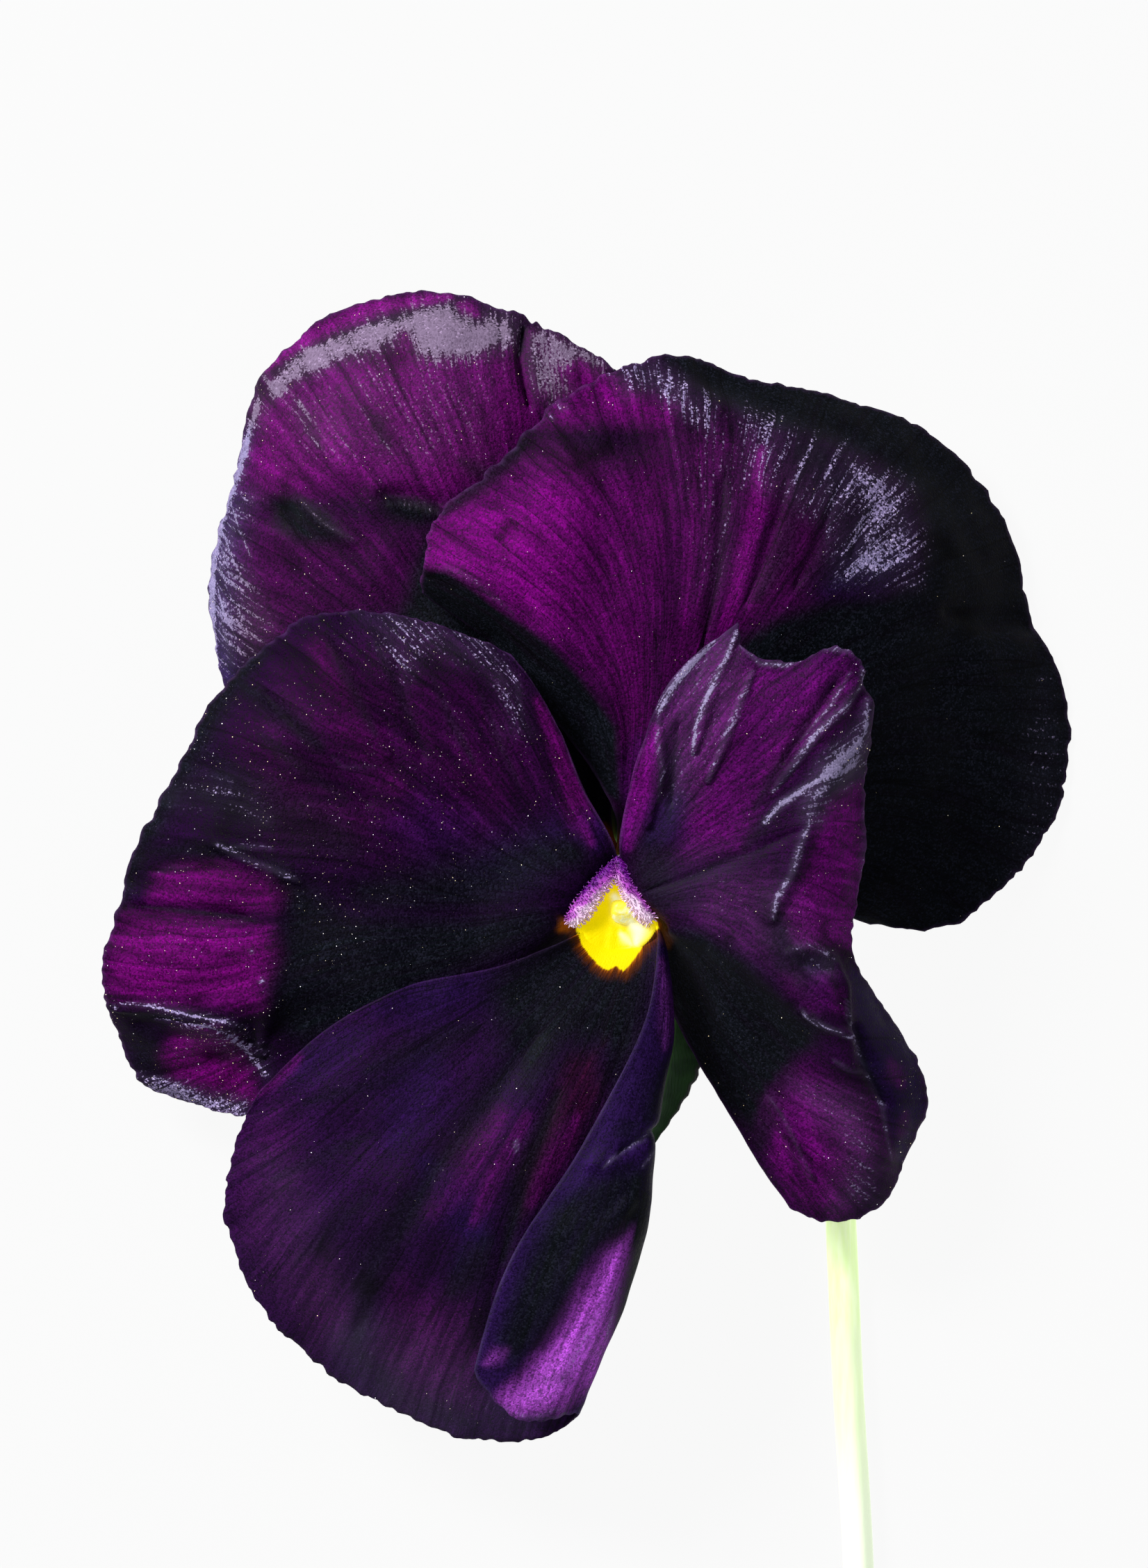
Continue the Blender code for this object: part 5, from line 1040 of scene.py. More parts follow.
def velvet(
    name, deep, lit, broad=9.0, veins=26.0, prefix="", vein_depth=0.45, edge=0.25,
    rim_light_tone=(0.15, 0.06, 0.22), specular=0.05, sheen_veil=0.06, sheen=(0.270, 0.215, 0.400), streak=0.4,
):
    """A petal's finish, from its two colours, its counts of streaks and veins and the zones it reads."""
    look, g, shader = new_look(name, 0.6, specular, Emission_Strength=1.2)
    places = g.add("ShaderNodeUVMap", uv_map="places").outputs[0]
    s = g.use(streaks_tree, Places=places, Position=g.spot(), Broad_Count=broad, Vein_Count=veins)
    base = g.mix(g.ramp(s["Broad"], 0.0, 1.0, 0.0, 0.5), deep, tuple(1.8 * c for c in deep))
    base = g.mix(zone_mask(g, g.painted("violet"), s, 0.3), base, VIOLET)
    base = g.mix(zone_mask(g, g.painted("red"), s, 0.4), base, RED)
    # The lit zones paint light: the petal's own magenta, shown where light falls on it.
    base = g.mix(zone_mask(g, g.painted(prefix + "lit"), s, 0.36), base, lit)
    # hollow is the mask of painted shade: cast shadows and faces turned from the lamp are painted near black,
    # with faint bluish-grey painted glints in them.
    hollow = zone_mask(g, g.painted(prefix + "dark"), s, 0.4)
    base = g.mix(hollow, base, BLACK)
    base = g.mix(g.times(hollow, g.ramp(s["Cell"], 0.6, 1.0, 0.0, 0.35)), base, (0.012, 0.012, 0.022))
    shade = g.times(
        g.plus(1.0 - 0.5 * streak, s["Streak"], streak),
        g.plus(0.72, s["Fine"], 0.54),
        g.plus(0.42, s["Cell"], 1.16),
        g.math("SUBTRACT", 1.0, g.math("MULTIPLY", s["Vein"], vein_depth)),
    )
    base = g.mix(1.0, base, g.xyz(shade, shade, shade), "MULTIPLY")
    # bend is the mask of painted sheen, the lilac-grey highlights on the bends, painted as glints cell by
    # cell, with a faint even part set by the veil strength.
    bend = zone_mask(g, g.painted(prefix + "sheen"), s, 0.34)
    cell = g.ramp(s["Cell"], 0.0, 1.0, max(0.0, sheen_veil - 0.06), 1.06 - sheen_veil, "LINEAR")
    glint = g.use(painted_glint_tree, Sheen=bend, Hair=s["Hair"], Cell=cell, Veil=sheen_veil)
    # The tone of the painted sheen, turned bluish where the violet zone lies.
    painted_sheen_tone = g.mix(g.times(g.painted("violet"), 0.8), sheen, (0.28, 0.25, 0.46))
    base = g.mix(glint["Mask"], base, painted_sheen_tone)
    # Painted glints: the brightest cells of the painted sheen are near white.
    base = g.mix(glint["Spark"], base, tuple(min(2.6 * c, 0.9) for c in sheen))
    # Painted rim light: a pale line along every free edge, where light shows through the thin margin.
    rim = g.math("MULTIPLY", g.painted("edge"), g.ramp(s["Fine"], 0.2, 0.9, edge * 0.4, edge))
    base = g.mix(rim, base, rim_light_tone)
    tooth = g.math("SUBTRACT", g.plus(g.times(s["Fine"], 0.6), s["Streak"], 0.4), 0.5)
    fringe = g.painted("fringe")
    fringe = g.math("ADD", fringe, g.times(tooth, 0.35, g.ramp(fringe, 0.0, 0.25)))
    base = g.mix(g.ramp(fringe, 0.04, 0.5), base, BROWN)
    base = g.mix(g.ramp(fringe, 0.36, 0.6, 0.0, 0.7), base, OCHRE)
    eye = g.ramp(g.plus(g.painted("eye"), tooth, 0.35), 0.3, 0.7)
    base = g.mix(eye, base, YELLOW)
    # The yellow patch and the pale painted highlights glow: emission stands in for the light inside them.
    glow = g.mix(eye, (0.0, 0.0, 0.0), YELLOW)
    g.put(shader.inputs["Emission Color"], g.mix(g.painted("pale"), glow, PALE))
    base = g.mix(g.painted("pale"), base, PALE)
    base = g.mix(g.painted("ochre"), base, OCHRE)
    g.put(shader.inputs["Base Color"], base)
    g.put(shader.inputs["Roughness"], g.plus(0.5, s["Cell"], 0.25))
    height = g.plus(g.math("MULTIPLY", s["Dome"], 0.7), s["Fine"], 0.5)
    g.put(shader.inputs["Normal"], g.bump(height))
    return look


looks = {
    "petal_upper_left": velvet("velvet_upper_left", (0.0100, 0.0006, 0.0145), (0.120, 0.0009, 0.116), 9.0,
        24.0, sheen_veil=0.1, sheen=(0.196, 0.140, 0.226)),
    "petal_upper_right": velvet("velvet_upper_right", (0.0080, 0.0005, 0.0115), (0.124, 0.0007, 0.122),
        12.0, 46.0, vein_depth=0.6, specular=0.03),
    "petal_lateral_left": velvet("velvet_lateral_left", (0.0060, 0.0004, 0.0112), (0.116, 0.0008, 0.110),
        8.0, 22.0, specular=0.03, streak=0.7),
    "petal_lateral_right": velvet("velvet_lateral_right", (0.0125, 0.0006, 0.0190), (0.125, 0.0012, 0.135),
        8.0, 20.0, sheen_veil=0.14, sheen=(0.260, 0.215, 0.370)),
    "petal_lower": velvet("velvet_lower", (0.0105, 0.0010, 0.0210), (0.086, 0.0016, 0.092), 11.0, 44.0,
        vein_depth=0.6, edge=0.07, specular=0.06, sheen_veil=0.22, streak=0.55),
}
reverse = velvet(
    "satin_reverse", (0.0100, 0.0022, 0.0300), (0.520, 0.077, 0.700), 7.0, 18.0, "flap_",
    vein_depth=0.3, edge=0.14, rim_light_tone=(0.25, 0.17, 0.40), sheen_veil=0.2,
)
print("petal materials", [look.name for look in looks.values()], reverse.name)

# %% [markdown]
# Now the five petals are built. The lower one also carries the spur, a short tube that holds the
# nectar and stands behind the throat, so its mesh goes into the same piece.

# %% Tubes with any number of sides
def neighbours(rings, sides):
    """Each vertex of a tube and the next one round its ring, by number."""
    for ring in range(rings):
        for k in range(sides):
            yield ring * sides + k, ring * sides + (k + 1) % sides

def tube(path, sides, steps):
    """A closed tube along stations of centre and radius."""
    count = len(path)
    table = np.array([tuple(centre) + (radius,) for centre, radius in path])
    places = np.linspace(0, count - 1, (count - 1) * steps + 1)
    rings = spline_weights(knots_for(table[:, :3]), places) @ table
    centres, radii = rings[:, :3], rings[:, 3]
    ahead = unit(np.gradient(centres, axis=0))
    helper = (0.0, 0.0, 1.0) if abs(ahead[0][2]) < 0.9 else (1.0, 0.0, 0.0)
    side = unit(np.cross(ahead[0], helper))
    vertices = []
    for centre, radius, axis in zip(centres, radii, ahead):
        side = unit(side - axis * side.dot(axis))
        up = np.cross(side, axis)
        for k in range(sides):
            turn = 2 * math.pi * (k + 0.5) / sides
            vertices.append(centre + radius * (math.cos(turn) * side + math.sin(turn) * up))
    faces = [(a, a + sides, b + sides, b) for a, b in neighbours(len(centres) - 1, sides)]
    last = (len(centres) - 1) * sides
    faces.append(tuple(range(sides)))
    faces.append(tuple(last + k for k in reversed(range(sides))))
    return np.array(vertices), faces


SPUR = (
    ((0.4, -1.25, 8.3), 0.55),
    ((0.4, -1.25, 7.8), 0.95),
    ((0.35, -1.2, 6.6), 1.05),
    ((0.2, -1.05, 4.8), 1.05),
    ((0.1, -0.7, 2.9), 1.1),
    ((0.0, -0.2, 1.2), 1.15),
    ((0.0, 0.0, 0.4), 1.0),
    ((0.0, 0.0, 0.0), 0.65),
)

# %% [markdown]
# Inside the throat the lower petal cups round the style and fills the view with yellow. The cup is a
# ring of quads from a hole for the style out to the rim of the eye, closed with a second face below.

# %% The yellow cup of the throat
STYLE_HOLE = (0.62, 1.1, 0.5)
CUP_RIM = (
    (0.2, 3.0, 11.9), (-0.7, 2.0, 12.0), (-1.5, 1.1, 12.1), (-2.2, 0.2, 12.1), (-2.1, -0.5, 12.2), (-1.6,
        -1.1, 12.2),
    (-0.8, -1.7, 12.1), (0.3, -1.9, 12.05), (1.4, -1.8, 12.05), (2.2, -1.3, 12.1), (2.8, -0.5, 12.2), (2.8,
        0.1, 12.2),
    (2.0, 1.1, 12.1), (1.1, 2.1, 12.0),
)
CUP_SIDES, CUP_RINGS = 84, 12
CUP_LEVEL, CUP_DEPTH, CUP_WALL = 12.05, 0.45, 0.16


def throat_cup():
    rim = np.array(CUP_RIM + CUP_RIM[:1])
    outer = (spline_weights(knots_for(rim), np.linspace(0, len(CUP_RIM), CUP_SIDES + 1)) @ rim)[:-1]
    x, y, radius = STYLE_HOLE
    way = unit(outer[:, :2] - (x, y))
    inner = np.column_stack([(x, y) + radius * way, np.full(CUP_SIDES, CUP_LEVEL - CUP_DEPTH)])
    out = np.linspace(0, 1, CUP_RINGS + 1)[:, None, None]
    top = inner + (outer - inner) * out
    top[..., 2] = CUP_LEVEL - CUP_DEPTH + (outer[:, 2] - CUP_LEVEL + CUP_DEPTH) * out[..., 0] ** 1.7
    top[..., 2] += 0.06 * smooth_noise(top, 0.6, 61.0) * (out[..., 0] > 0)
    vertices = np.concatenate([top.reshape(-1, 3), (top - (0, 0, CUP_WALL)).reshape(-1, 3)])
    size, faces = top[..., 0].size, []
    for a, b in neighbours(CUP_RINGS, CUP_SIDES):
        faces.append((a, b, b + CUP_SIDES, a + CUP_SIDES))
        faces.append((a + size, a + CUP_SIDES + size, b + CUP_SIDES + size, b + size))
    for first, step in ((0, 1), (CUP_RINGS * CUP_SIDES, -1)):
        for a, b in neighbours(1, CUP_SIDES):
            faces.append((first + b, first + a, first + a + size, first + b + size)[::step])
    return vertices, faces


# %% The five petals
PETALS = (
    ("petal_upper_left", UPPER_LEFT_RIBS, (150, 84), 9, 0.35),
    ("petal_upper_right", UPPER_RIGHT_RIBS, (96, 30), 11, 0.4),
    ("petal_lateral_left", LATERAL_LEFT_RIBS, (210, 160), 8, 0.35),
    ("petal_lateral_right", LATERAL_RIGHT_RIBS, (20, -32), 7, 0.3),
    ("petal_lower", LOWER_RIBS, (308, 229), 8, 0.3),
)
MASKS = ("lit", "dark", "sheen", "violet", "red", "flap_lit", "flap_dark", "flap_sheen")
# Pale spots by the stigma, partly its own pale colour and partly painted highlight; they also glow.
PALE_SPOTS = (
    line(0.5, 0.9, (0.2, 1.8), (0.9, 0.7), (1.4, 0.0)),
    line(0.5, 0.9, (1.2, 0.2), (1.8, -0.4), (1.6, -1.2)),
    line(0.3, 0.6, (0.6, -0.6), (1.3, -1.3)),
)
FLAP_LEVEL, THROAT_LEVEL = 16, 9.5
surfaces = {}
petals = {}
for name, ribs, sector, waves, height in PETALS:
    surface = relief(name, petal_surface(ribs, sector), waves, height)
    vertices, faces, reverse_from = blade(surface)
    vertices[:, 2] = np.maximum(vertices[:, 2], 0)
    masks = {mask: brushed(surface, ZONES[name].get(mask, ())) for mask in MASKS}
    rim, _ = edge_distance(surface)
    # The edge mask carries the painted rim light along every free edge.
    masks["edge"] = np.exp(-((rim / 0.16) ** 2))
    low = surface[..., 2] < FLAP_LEVEL
    masks["eye"] = patch(surface, YELLOW_EYE, 0.2) * low
    masks["fringe"] = patch(surface, YELLOW_EYE, 1.2) * low
    masks["ochre"] = brushed(surface, EYE_BASE if "upper" in name else EYE_CORNERS)
    masks["pale"] = brushed(surface, PALE_SPOTS) * low
    u, v = grid_places()
    places = np.tile(np.stack([u, v], axis=-1).reshape(-1, 2), (2, 1))
    masks = {key: np.tile(mask.ravel(), 2) for key, mask in masks.items()}
    if name == "petal_lower":
        faces = faces.tolist()
        for more, more_faces in (tube(SPUR, 28, 6), throat_cup()):
            faces += [tuple(len(vertices) + k for k in face) for face in more_faces]
            vertices = np.concatenate([vertices, more])
            zeros = np.zeros(len(more))
            seen = more[:, 2] > THROAT_LEVEL
            plain = {"eye": seen * 1.0, "fringe": seen * 1.0, "pale": brushed(more, PALE_SPOTS) * seen}
            masks = {key: np.concatenate([mask, plain.get(key, zeros)]) for key, mask in masks.items()}
            round_and_up = np.stack([np.arctan2(more[:, 1], more[:, 0]) / 6.3, more[:, 2] / 20], axis=-1)
            places = np.concatenate([places, round_and_up])
    piece = new_piece(name + "_fine", vertices, faces, (looks[name], reverse), reverse_from)
    paint(piece, masks)
    lay_places(piece, places)
    surfaces[name], petals[name] = surface, piece
    lowest = round(float(vertices[:, 2].min()), 2)
    print(piece.name, len(piece.data.polygons), "faces, lowest", lowest, "mm")

# %% [markdown]
# Hairs and pollen grains stand on the petals in their hundreds, so Geometry Nodes scatter them on a
# bed, which is a copy of the petal's face with the painted density on it. Each tree ends in real
# geometry, because the exported model can't hold instances.

# %% How each tree starts and ends, and how its result becomes a plain mesh
def new_growth(name, *inputs):
    """A geometry tree that takes a geometry and a material besides its own inputs."""
    sockets = (("Geometry", "Geometry"), *inputs, ("Material", "Material"))
    return new_group(name, "GeometryNodeTree", sockets, (("Geometry", "Geometry"),))

def end_growth(g, geometry, given, result):
    """Gives what the tree has made its material and hands it out."""
    done = g.add("GeometryNodeSetMaterial", {"Geometry": geometry, "Material": given["Material"]})
    g.put(result["Geometry"], done.outputs[0])

def swept(g, curve, section):
    """A section swept along a curve at the curve's own radius, shaded smooth."""
    skin = g.add("GeometryNodeCurveToMesh", {"Curve": curve, "Profile Curve": section, "Fill Caps": True})
    if "Scale" in skin.inputs:
        g.put(skin.inputs["Scale"], g.add("GeometryNodeInputRadius").outputs[0])
    return g.add("GeometryNodeSetShadeSmooth", {"Geometry": skin.outputs[0]}).outputs[0]

def grown(name, source, tree, values):
    """Runs a geometry tree on a source object and keeps the result as a new piece at the origin."""
    modifier = source.modifiers.new("growth", "NODES")
    modifier.node_group = tree
    for item in tree.interface.items_tree:
        if item.item_type == "SOCKET" and item.in_out == "INPUT" and item.name in values:
            modifier[item.identifier] = values[item.name]
    source.update_tag()
    graph = bpy.context.evaluated_depsgraph_get()
    evaluated = source.evaluated_get(graph)
    mesh = bpy.data.meshes.new_from_object(evaluated, preserve_all_data_layers=True, depsgraph=graph)
    source.modifiers.remove(modifier)
    bpy.data.objects.remove(source)
    made = bpy.data.objects.new(name, mesh)
    mesh.name = name
    bpy.context.scene.collection.objects.link(made)
    print(name, len(mesh.polygons), "faces")
    return made


def bed(name, surface, density):
    """The front face of a petal alone, with a painted density, to scatter things on."""
    _, quads = grid_quads(*surface.shape[:2])
    shell = surface + normals_of(surface) * WALL / 2
    made = new_piece(name, shell.reshape(-1, 3), quads, ())
    paint(made, {"density": density.ravel()})
    return made


# %% [markdown]
# Each side petal has a soft pad on its claw, thick with short hairs. A hair is a small club, thin at
# its root and round at its tip, bent a little. A curve with a swelling radius makes it, and the tree
# keeps how far along the hair each ring is, so that the material can pale towards the tips. The pad
# comes out of the tree with its hairs.

# %% A tree that grows clubbed hairs
hair_tree, g, given, result = new_growth(
    "clubbed_hairs", ("Spacing", "Float", 0.0001), ("Length", "Float", 0.0007),
    ("Thickness", "Float", 0.00005), ("Bend", "Float", 0.0002), ("Tilt", "Float", 0.5), ("Seed", "Int", 1),
)
density = g.add("GeometryNodeInputNamedAttribute", {"Name": "density"}, data_type="FLOAT").outputs[0]
points = g.add("GeometryNodeDistributePointsOnFaces", {
    "Mesh": given["Geometry"], "Distance Min": given["Spacing"], "Density Max": 6e7,
    "Density Factor": density, "Seed": given["Seed"],
}, distribute_method="POISSON")
tip = g.xyz(x=given["Bend"], z=given["Length"])
knee = g.xyz(z=g.math("MULTIPLY", given["Length"], 0.6))
strand = g.add("GeometryNodeCurveQuadraticBezier", {
    "Resolution": 5, "Start": (0, 0, 0), "Middle": knee, "End": tip,
})
reach = g.add("GeometryNodeSplineParameter").outputs["Factor"]
tip_round = g.math("SQRT", g.math("SUBTRACT", 1.02, g.math("POWER", reach, 8.0)))
club = g.math("MULTIPLY", g.plus(0.55, reach, 0.65), tip_round)
radius = g.math("MULTIPLY", club, given["Thickness"])
strand = g.add("GeometryNodeStoreNamedAttribute", {
    "Geometry": strand.outputs[0], "Name": "reach", "Value": reach,
}, data_type="FLOAT", domain="POINT")
strand = g.add("GeometryNodeSetCurveRadius", {"Curve": strand.outputs[0], "Radius": radius})
section = g.add("GeometryNodeCurvePrimitiveCircle", {"Resolution": 6, "Radius": 1.0}, mode="RADIUS")
skin = swept(g, strand.outputs[0], section.outputs[0])
size = g.add("FunctionNodeRandomValue", {"Min": 0.65, "Max": 1.2, "Seed": given["Seed"]}, data_type="FLOAT")
hairs = g.add("GeometryNodeInstanceOnPoints", {
    "Points": points.outputs["Points"], "Instance": skin,
    "Rotation": points.outputs["Rotation"], "Scale": g.live(size),
})
lean = g.add("FunctionNodeRandomValue", data_type="FLOAT_VECTOR")
vectors = [s for s in lean.inputs if s.type == "VECTOR"]
back = g.math("MULTIPLY", given["Tilt"], -1.0)
g.put(vectors[0], g.xyz(back, back, 0.0))
g.put(vectors[1], g.xyz(given["Tilt"], given["Tilt"], 6.28))
hairs = g.add("GeometryNodeRotateInstances", {
    "Instances": hairs.outputs[0], "Rotation": g.live(lean), "Local Space": True,
})
hairs = g.add("GeometryNodeRealizeInstances", {"Geometry": hairs.outputs[0]})
both = g.add("GeometryNodeJoinGeometry")
g.put(both.inputs[0], hairs.outputs[0])
g.put(both.inputs[0], given["Geometry"])
end_growth(g, both.outputs[0], given, result)

# %% The material of the pads, magenta on their outer side and white on their inner one
beard_look, g, shader = new_look("beard_hairs", 0.5, 0.15)
mottle = g.noise(g.spot(), 1500.0, 2.0)
side = g.plus(g.painted("outer"), g.math("SUBTRACT", mottle, 0.5), 1.1)
tone = g.mix(g.ramp(side, -0.5, 0.1), (0.90, 0.68, 0.86), (0.44, 0.07, 0.50))
tone = g.mix(g.ramp(side, 0.05, 0.7), tone, (0.13, 0.002, 0.22))
tone = g.mix(g.ramp(g.painted("reach"), 0.3, 1.0, 0.0, 0.07), tone, (0.95, 0.70, 0.95))
g.put(shader.inputs["Base Color"], tone)
g.put(shader.inputs["Roughness"], g.ramp(mottle, 0.2, 0.8, 0.4, 0.6))

# %% Growing the beards
PADS = (
    ("petal_lateral_left", (((0.35, 4.4, 12.0), 0.3), ((-0.2, 3.4, 12.2), 0.5), ((-1.0, 2.4, 12.3), 0.58),
        ((-1.75, 1.3, 12.3), 0.62), ((-2.35, 0.5, 12.25), 0.58), ((-2.6, 0.1, 12.15), 0.35))),
    ("petal_lateral_right", (((0.4, 4.4, 12.1), 0.3), ((0.7, 3.4, 12.3), 0.45), ((1.1, 2.5, 12.4), 0.5),
        ((1.65, 1.5, 12.4), 0.52), ((2.2, 0.7, 12.3), 0.5), ((2.6, 0.25, 12.2), 0.32))),
)
# Each pad turns from magenta at its top to white at its foot; PAD_TURN places the turn, lower on the right
# pad, so that pad is painted lighter: painted light that lifts it out of its shade.
PAD_HALF, PAD_LEVEL, PAD_TURN = 0.5, 11.9, (0.62, 0.54)
beards = []
for number, (name, path) in enumerate(PADS):
    vertices, faces = tube(path, 32, 12)
    ends = np.array([centre[:2] for centre, _ in path])
    line_up = unit(ends[-1] - ends[0])
    out_way = np.array([-line_up[1], line_up[0]]) * (-1 if number == 0 else 1)
    way_along = (vertices[:, :2] - ends[0]) @ line_up / np.linalg.norm(ends[-1] - ends[0])
    middle = np.array([np.interp(way_along, np.linspace(0, 1, len(ends)), ends[:, k]) for k in (0, 1)]).T
    outer = (vertices[:, :2] - middle) @ out_way / PAD_HALF
    outer = outer * 0.55 + 1.3 * (PAD_TURN[number] - way_along)
    pad = new_piece("pad", vertices, faces, ())
    paint(pad, {
        "density": np.clip((vertices[:, 2] - PAD_LEVEL) / 0.2, 0, 1), "outer": outer, "reach": 0 * outer,
    })
    made = grown(name.replace("petal", "beard"), pad, hair_tree, {
        "Spacing": 0.00009, "Length": 0.00028, "Thickness": 0.00004, "Bend": 0.0001, "Tilt": 0.5,
        "Seed": SEED + number, "Material": beard_look,
    })
    beards.append((made, name))

# %% [markdown]
# Pollen and dust lie all over the velvet as specks of at most a tenth of a millimetre, most of them
# far smaller, each a little squashed. The left petal has three hundred to the square centimetre and
# the others a hundred or fewer.

# %% A tree that scatters grains
grain_tree, g, given, result = new_growth(
    "scattered_grains", ("Per Square Metre", "Float", 1e5), ("Smallest", "Float", 3e-5),
    ("Largest", "Float", 9e-5), ("Seed", "Int", 1),
)
density = g.add("GeometryNodeInputNamedAttribute", {"Name": "density"}, data_type="FLOAT").outputs[0]
amount = g.math("MULTIPLY", density, given["Per Square Metre"])
points = g.add("GeometryNodeDistributePointsOnFaces", {
    "Mesh": given["Geometry"], "Density": amount, "Seed": given["Seed"],
}, distribute_method="RANDOM")
grain = g.add("GeometryNodeMeshIcoSphere", {"Radius": 1.0, "Subdivisions": 1})
dent = g.add("ShaderNodeTexNoise", {"Scale": 1.3, "Detail": 1.0}).outputs["Fac"]
swell = g.plus(0.55, dent, 0.9)
place = g.add("GeometryNodeInputPosition").outputs[0]
squash = g.xyz(swell, g.math("MULTIPLY", swell, 0.8), g.math("MULTIPLY", swell, 0.65))
shape = g.vector("MULTIPLY", place, squash)
grain = g.add("GeometryNodeSetPosition", {"Geometry": grain.outputs[0], "Position": shape})
chance = g.live(g.add("FunctionNodeRandomValue", data_type="FLOAT"))
room = g.math("SUBTRACT", given["Largest"], given["Smallest"])
size = g.math("ADD", given["Smallest"], g.times(room, g.math("POWER", chance, 4.0)))
yaw = g.add("FunctionNodeRandomValue", data_type="FLOAT_VECTOR")
vectors = [s for s in yaw.inputs if s.type == "VECTOR"]
g.put(vectors[1], (6.28, 6.28, 6.28))
grains = g.add("GeometryNodeInstanceOnPoints", {
    "Points": points.outputs["Points"], "Instance": grain.outputs[0],
    "Rotation": g.live(yaw), "Scale": size,
})
grains = g.add("GeometryNodeRealizeInstances", {"Geometry": grains.outputs[0]})
end_growth(g, grains.outputs[0], given, result)

# %% Pollen on the petals
# The grains glow with their own tone: painted light that keeps them bright even in shade.
pollen_look, g, shader = new_look("pollen_grains", 0.6, 0.3, Emission_Strength=0.9)
tone = g.noise(g.spot(), 900.0, 1.0)
tone = g.mix(g.ramp(tone, 0.4, 0.6), (1.0, 0.85, 0.50), (0.95, 0.92, 1.0))
g.put(shader.inputs["Base Color"], tone)
g.put(shader.inputs["Emission Color"], tone)
pollen = []
GRAINS_PER_CM2 = {
    "petal_upper_left": 100, "petal_upper_right": 60, "petal_lateral_left": 300,
    "petal_lateral_right": 100, "petal_lower": 40,
}
CM2_PER_M2, SMALLEST_GRAIN, LARGEST_GRAIN = 1e4, 0.8e-5, 4.3e-5
for number, (name, count) in enumerate(GRAINS_PER_CM2.items()):
    surface = surfaces[name]
    _, v = grid_places()
    patchy = np.clip(0.5 + 1.4 * smooth_noise(surface, 3.0, 50.0), 0.1, 2.0)
    density = np.clip((v - 0.2) / 0.2, 0, 1) * patchy
    # Few grains are scattered where shade is painted on the upper petals.
    if "upper" in name:
        density = density * (1 - 0.85 * brushed(surface, ZONES[name]["dark"]))
    made = grown(name.replace("petal", "pollen"), bed("grain_bed", surface, density), grain_tree, {
        "Per Square Metre": count * CM2_PER_M2, "Smallest": SMALLEST_GRAIN, "Largest": LARGEST_GRAIN,
        "Seed": SEED + 10 + number, "Material": pollen_look,
    })
    pollen.append((made, name))

# %% [markdown]
# The stem of a pansy isn't round: it has shallow ridges that run its whole length, and it hooks over
# behind the bloom to carry it. A curve with a radius at each point and a ridged section, swept by
# Geometry Nodes, gives the ridges without modelling them one by one.

# %% A tree that sweeps a ridged stalk
stalk_tree, g, given, result = new_growth(
    "ridged_stalk", ("Ridges", "Int", 5), ("Ridge Depth", "Float", 0.06), ("Sides", "Int", 40),
)
circle = {"Resolution": given["Sides"], "Radius": 1.0}
section = g.add("GeometryNodeCurvePrimitiveCircle", circle, mode="RADIUS")
turn = g.math("MULTIPLY", g.add("GeometryNodeSplineParameter").outputs["Factor"], 2 * math.pi)
wave = g.math("COSINE", g.math("MULTIPLY", turn, given["Ridges"]))
swell = g.math("SUBTRACT", 1.0, g.math("MULTIPLY", given["Ridge Depth"], g.math("SUBTRACT", 1.0, wave)))
place = g.add("GeometryNodeInputPosition").outputs[0]
section = g.add("GeometryNodeSetPosition", {
    "Geometry": section.outputs[0],
    "Position": g.vector("MULTIPLY", place, g.xyz(swell, swell, 1.0)),
})
end_growth(g, swept(g, given["Geometry"], section.outputs[0]), given, result)

# %% The material of the stem
stem_look, g, shader = new_look("stem_skin", 0.42, 0.4, Emission_Strength=0.6)
spot = g.spot()
run = g.vector("MULTIPLY", spot, (1.0, 0.12, 1.0))
fibres = g.noise(run, 2600.0, 3.0, 0.6)
patches = g.noise(spot, 220.0, 2.0)
tone = g.mix(g.ramp(fibres, 0.3, 0.7), (0.68, 0.88, 0.40), (0.80, 0.94, 0.54))
tone = g.mix(g.ramp(patches, 0.45, 0.75, 0.0, 0.5), tone, (0.70, 0.80, 0.54))
height = g.split(spot)["Y"]
tone = g.mix(g.ramp(height, -0.022, -0.042), tone, (0.70, 0.79, 0.58))
tone = g.mix(g.ramp(height, -0.008, 0.006), tone, (0.36, 0.54, 0.13))
g.put(shader.inputs["Base Color"], tone)
# The stem glows with its own tone: painted light, standing in for light that shines through it.
g.put(shader.inputs["Emission Color"], tone)
g.put(shader.inputs["Normal"], g.bump(fibres))

# %% The stem, from its cut end over the hook to the swelling that carries the bloom
STEM = (
    ((16.9, -65.0, 1.01), 1.03),
    ((16.7, -56.0, 1.01), 1.05),
    ((16.2, -41.0, 1.01), 1.05),
    ((15.6, -31.0, 1.01), 1.05),
    ((15.1, -19.6, 1.01), 1.05),
    ((14.7, -11.0, 1.01), 1.0),
    ((13.6, -4.0, 1.01), 1.0),
    ((11.4, 1.6, 1.1), 0.95),
    ((8.2, 4.9, 1.3), 0.95),
    ((4.8, 6.0, 1.7), 0.9),
    ((2.2, 4.9, 2.4), 0.9),
    ((0.9, 3.2, 3.3), 0.95),
    ((0.5, 2.6, 4.3), 1.2),
    ((0.5, 2.6, 4.9), 1.9),
    ((0.5, 2.6, 5.4), 2.2),
    ((0.5, 2.6, 5.8), 2.2),
    ((0.5, 2.6, 6.0), 1.85),
)


